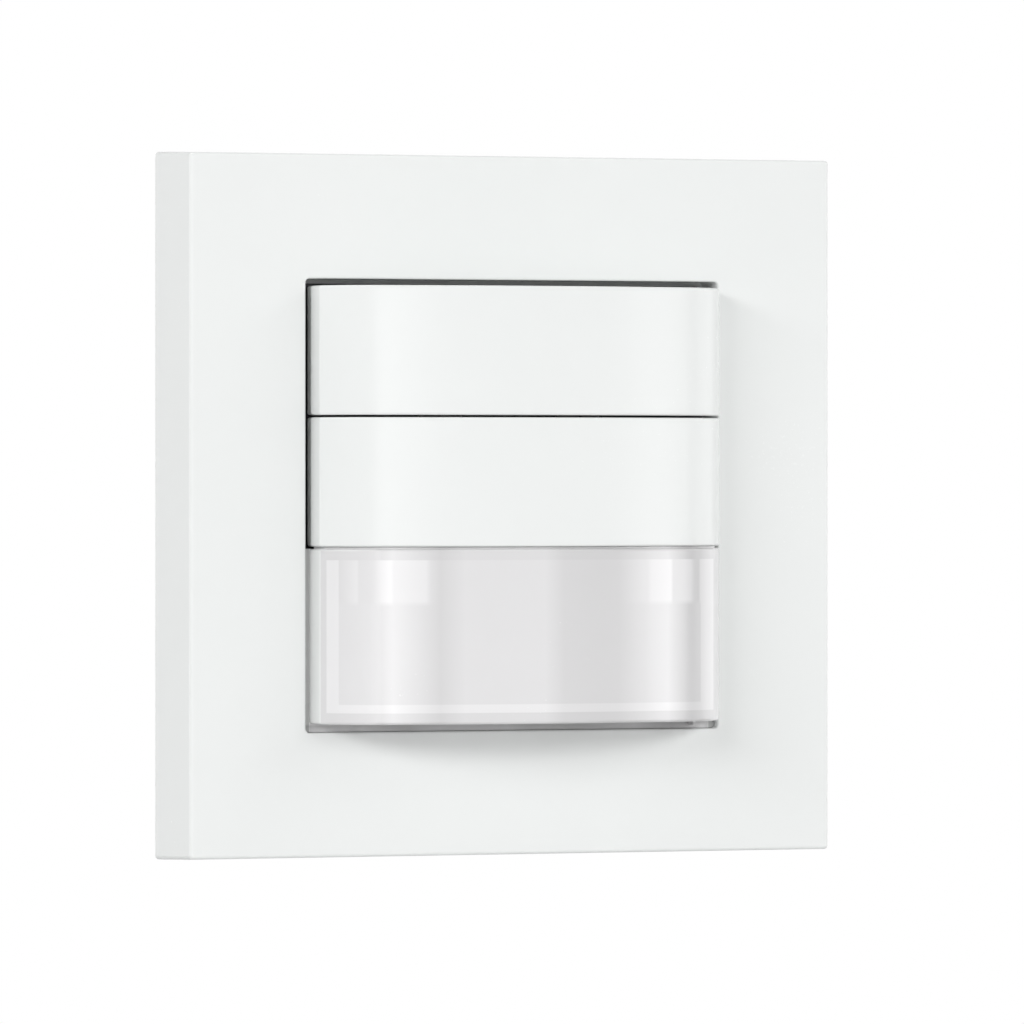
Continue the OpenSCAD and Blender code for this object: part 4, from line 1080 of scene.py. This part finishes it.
# %% [markdown]
# The faces of the solids come as thin triangles, which a bevel would tear apart. So a weld joins
# the triangles, a planar dissolve makes whole faces of them and a bevel rounds the sharp edges.
# Then come the edge marks, and weighted normals keep the faces between them flat. Large moulded
# pieces have wider roundings than small ones.

# %% Soften and finish the remaining solids
small_edge = 0.1 * MM
edge_width = {"module_housing": 0.35 * MM, "module_lid": 0.3 * MM, "support_ring": 0.18 * MM,
              "ring_rivets": 0.3 * MM}
made_here = {"cover_frame", "upper_key", "lower_key", "sensor_lens", "upper_key_springs",
             "lower_key_springs", "left_claw_screw", "right_claw_screw"}


def soften(solid, width):
    """Round the sharp edges of a solid without touching its mesh."""
    weld = solid.modifiers.new("weld", "WELD")
    weld.merge_threshold = 0.001 * MM
    whole = solid.modifiers.new("whole_faces", "DECIMATE")
    whole.decimate_type, whole.angle_limit = "DISSOLVE", math.radians(1)
    soft = solid.modifiers.new("soft_edges", "BEVEL")
    soft.limit_method, soft.angle_limit = "ANGLE", math.radians(40)
    soft.width, soft.segments = width, 2
    solid.modifiers.new("flat_faces", "NODES").node_group = flat_faces
    solid.modifiers.new("weighted", "WEIGHTED_NORMAL").keep_sharp = True


for name in sorted(slot_of.keys() - made_here):
    solid = nodes[name]
    solid.data.materials.clear()
    solid.data.materials.append(finish_of[slot_of[name]])
    soften(solid, edge_width.get(name, small_edge))
print("finished", len(slot_of) - len(made_here), "solids")

# %% [markdown]
# ## Floor
# A plain studio floor lies well below the switch and catches its shadow. It is nearly white and a
# little cloudy, as painted board is. It belongs to the stage and not to the switch.

# %% Lay the floor
floor_half = 0.8
floor_height = -0.12
floor_finish, tree, shader = start_finish("studio_floor", Roughness=0.7)
cloudy = put(tree, "TexNoise", Vector=put(tree, "TexCoord").outputs["Object"], Scale=6.0, Detail=2.0)
tree.links.new(between(tree, cloudy.outputs["Fac"], (0.86, 0.86, 0.86), (0.88, 0.88, 0.88)),
               shader.inputs["Base Color"])
bm = bmesh.new()
bmesh.ops.create_grid(bm, x_segments=8, y_segments=8, size=floor_half)
bmesh.ops.translate(bm, verts=bm.verts, vec=Vector((0, 0, floor_height)))
floor = loose_object("studio_floor", bm)
floor.data.materials.append(floor_finish)
floor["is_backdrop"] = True
print("floor is", 2 * floor_half, "m wide")

# %% [markdown]
# ## Surround
# The background is white where the camera, a reflection or a see-through piece meets it, and much
# weaker as a light, so that the object keeps its soft shading.

# %% Set up the surround
surround_light = 0.15
world = bpy.data.worlds.new("surround")
scene.world = world
world.use_nodes = True
sky = world.node_tree
path = put(sky, "LightPath").outputs
mirrored_or_seen = math_node(sky, "MAXIMUM", path["Is Camera Ray"], path["Is Glossy Ray"])
seen = math_node(sky, "MAXIMUM", mirrored_or_seen, path["Is Transmission Ray"])
strength = put(sky, "MapRange", Value=seen, To_Min=surround_light, To_Max=1.0).outputs["Result"]
sky.links.new(strength, sky.nodes["Background"].inputs["Strength"])
sky.nodes["Background"].inputs["Color"].default_value = (1, 1, 1, 1)
print("surround gives", surround_light, "of white as light")

# %% [markdown]
# ## Lamps
# The light in the photograph is large and soft, but not even. The shade under the lens is short
# with a soft rim, so most light comes from low panels a little above the switch, left and right.
# One further round to the right throws the faint shade on the frame left of the keys. The bow
# mirrors a panel in front and a narrow one at the right. The others light the sides and the top,
# draw the thin highlight down the frame's left edge, and light the rear, which the photograph
# doesn't show. Four panels are left out of reflections: the frame's top and the zinc ring would
# mirror them as burnt white bands, and the keys' right shoulder would lose its darker band. Each
# panel is given by its direction and by how wide and high it looks from the switch, in degrees.

# %% Hang the lamps
lamp_distance = 1.5


def lamp(name, azimuth, elevation, wide, high, power, mirrored=True):
    """A soft panel that faces the switch, and that glossy surfaces mirror or not."""
    a, e = math.radians(azimuth), math.radians(elevation)
    data = bpy.data.lights.new(name, "AREA")
    data.shape, data.energy = "RECTANGLE", power
    data.size = 2 * lamp_distance * math.tan(math.radians(wide / 2)) * math.cos(e)
    data.size_y = 2 * lamp_distance * math.tan(math.radians(high / 2))
    made = bpy.data.objects.new(name, data)
    scene.collection.objects.link(made)
    reach = lamp_distance * math.cos(e)
    made.location = (reach * math.sin(a), -reach * math.cos(a), lamp_distance * math.sin(e))
    made.rotation_mode = "QUATERNION"
    made.rotation_quaternion = (-made.location).to_track_quat("-Z", "Y")
    made.visible_camera = False
    made.visible_glossy = mirrored


lamp("left_panel", -57, 18, 34, 12, 9.25, mirrored=False)
lamp("right_panel", 24, 18, 34, 12, 5.9, mirrored=False)
lamp("front_panel", -13, 4, 28, 24, 2.4)
lamp("right_strip", 45, -5, 9, 18, 1.1)
lamp("right_side_panel", 58, 22, 18, 18, 3.1, mirrored=False)
lamp("far_right_panel", 88, 5, 36, 60, 4.6)
lamp("high_left_panel", -90, 62, 50, 40, 5.0)
lamp("left_edge_panel", -123, 0, 34, 10, 1.5)
lamp("rear_panel", 180, 4, 30, 14, 7.5, mirrored=False)

# %% [markdown]
# ## Size and view transform
# The looks must not change the size of the switch, so the box of the dressed model is printed.

# %% Set the view transform and print the size
scene.view_settings.view_transform = "Standard"
low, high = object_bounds()
print("visual box", [round(v / MM, 2) for v in (*low, *high)])
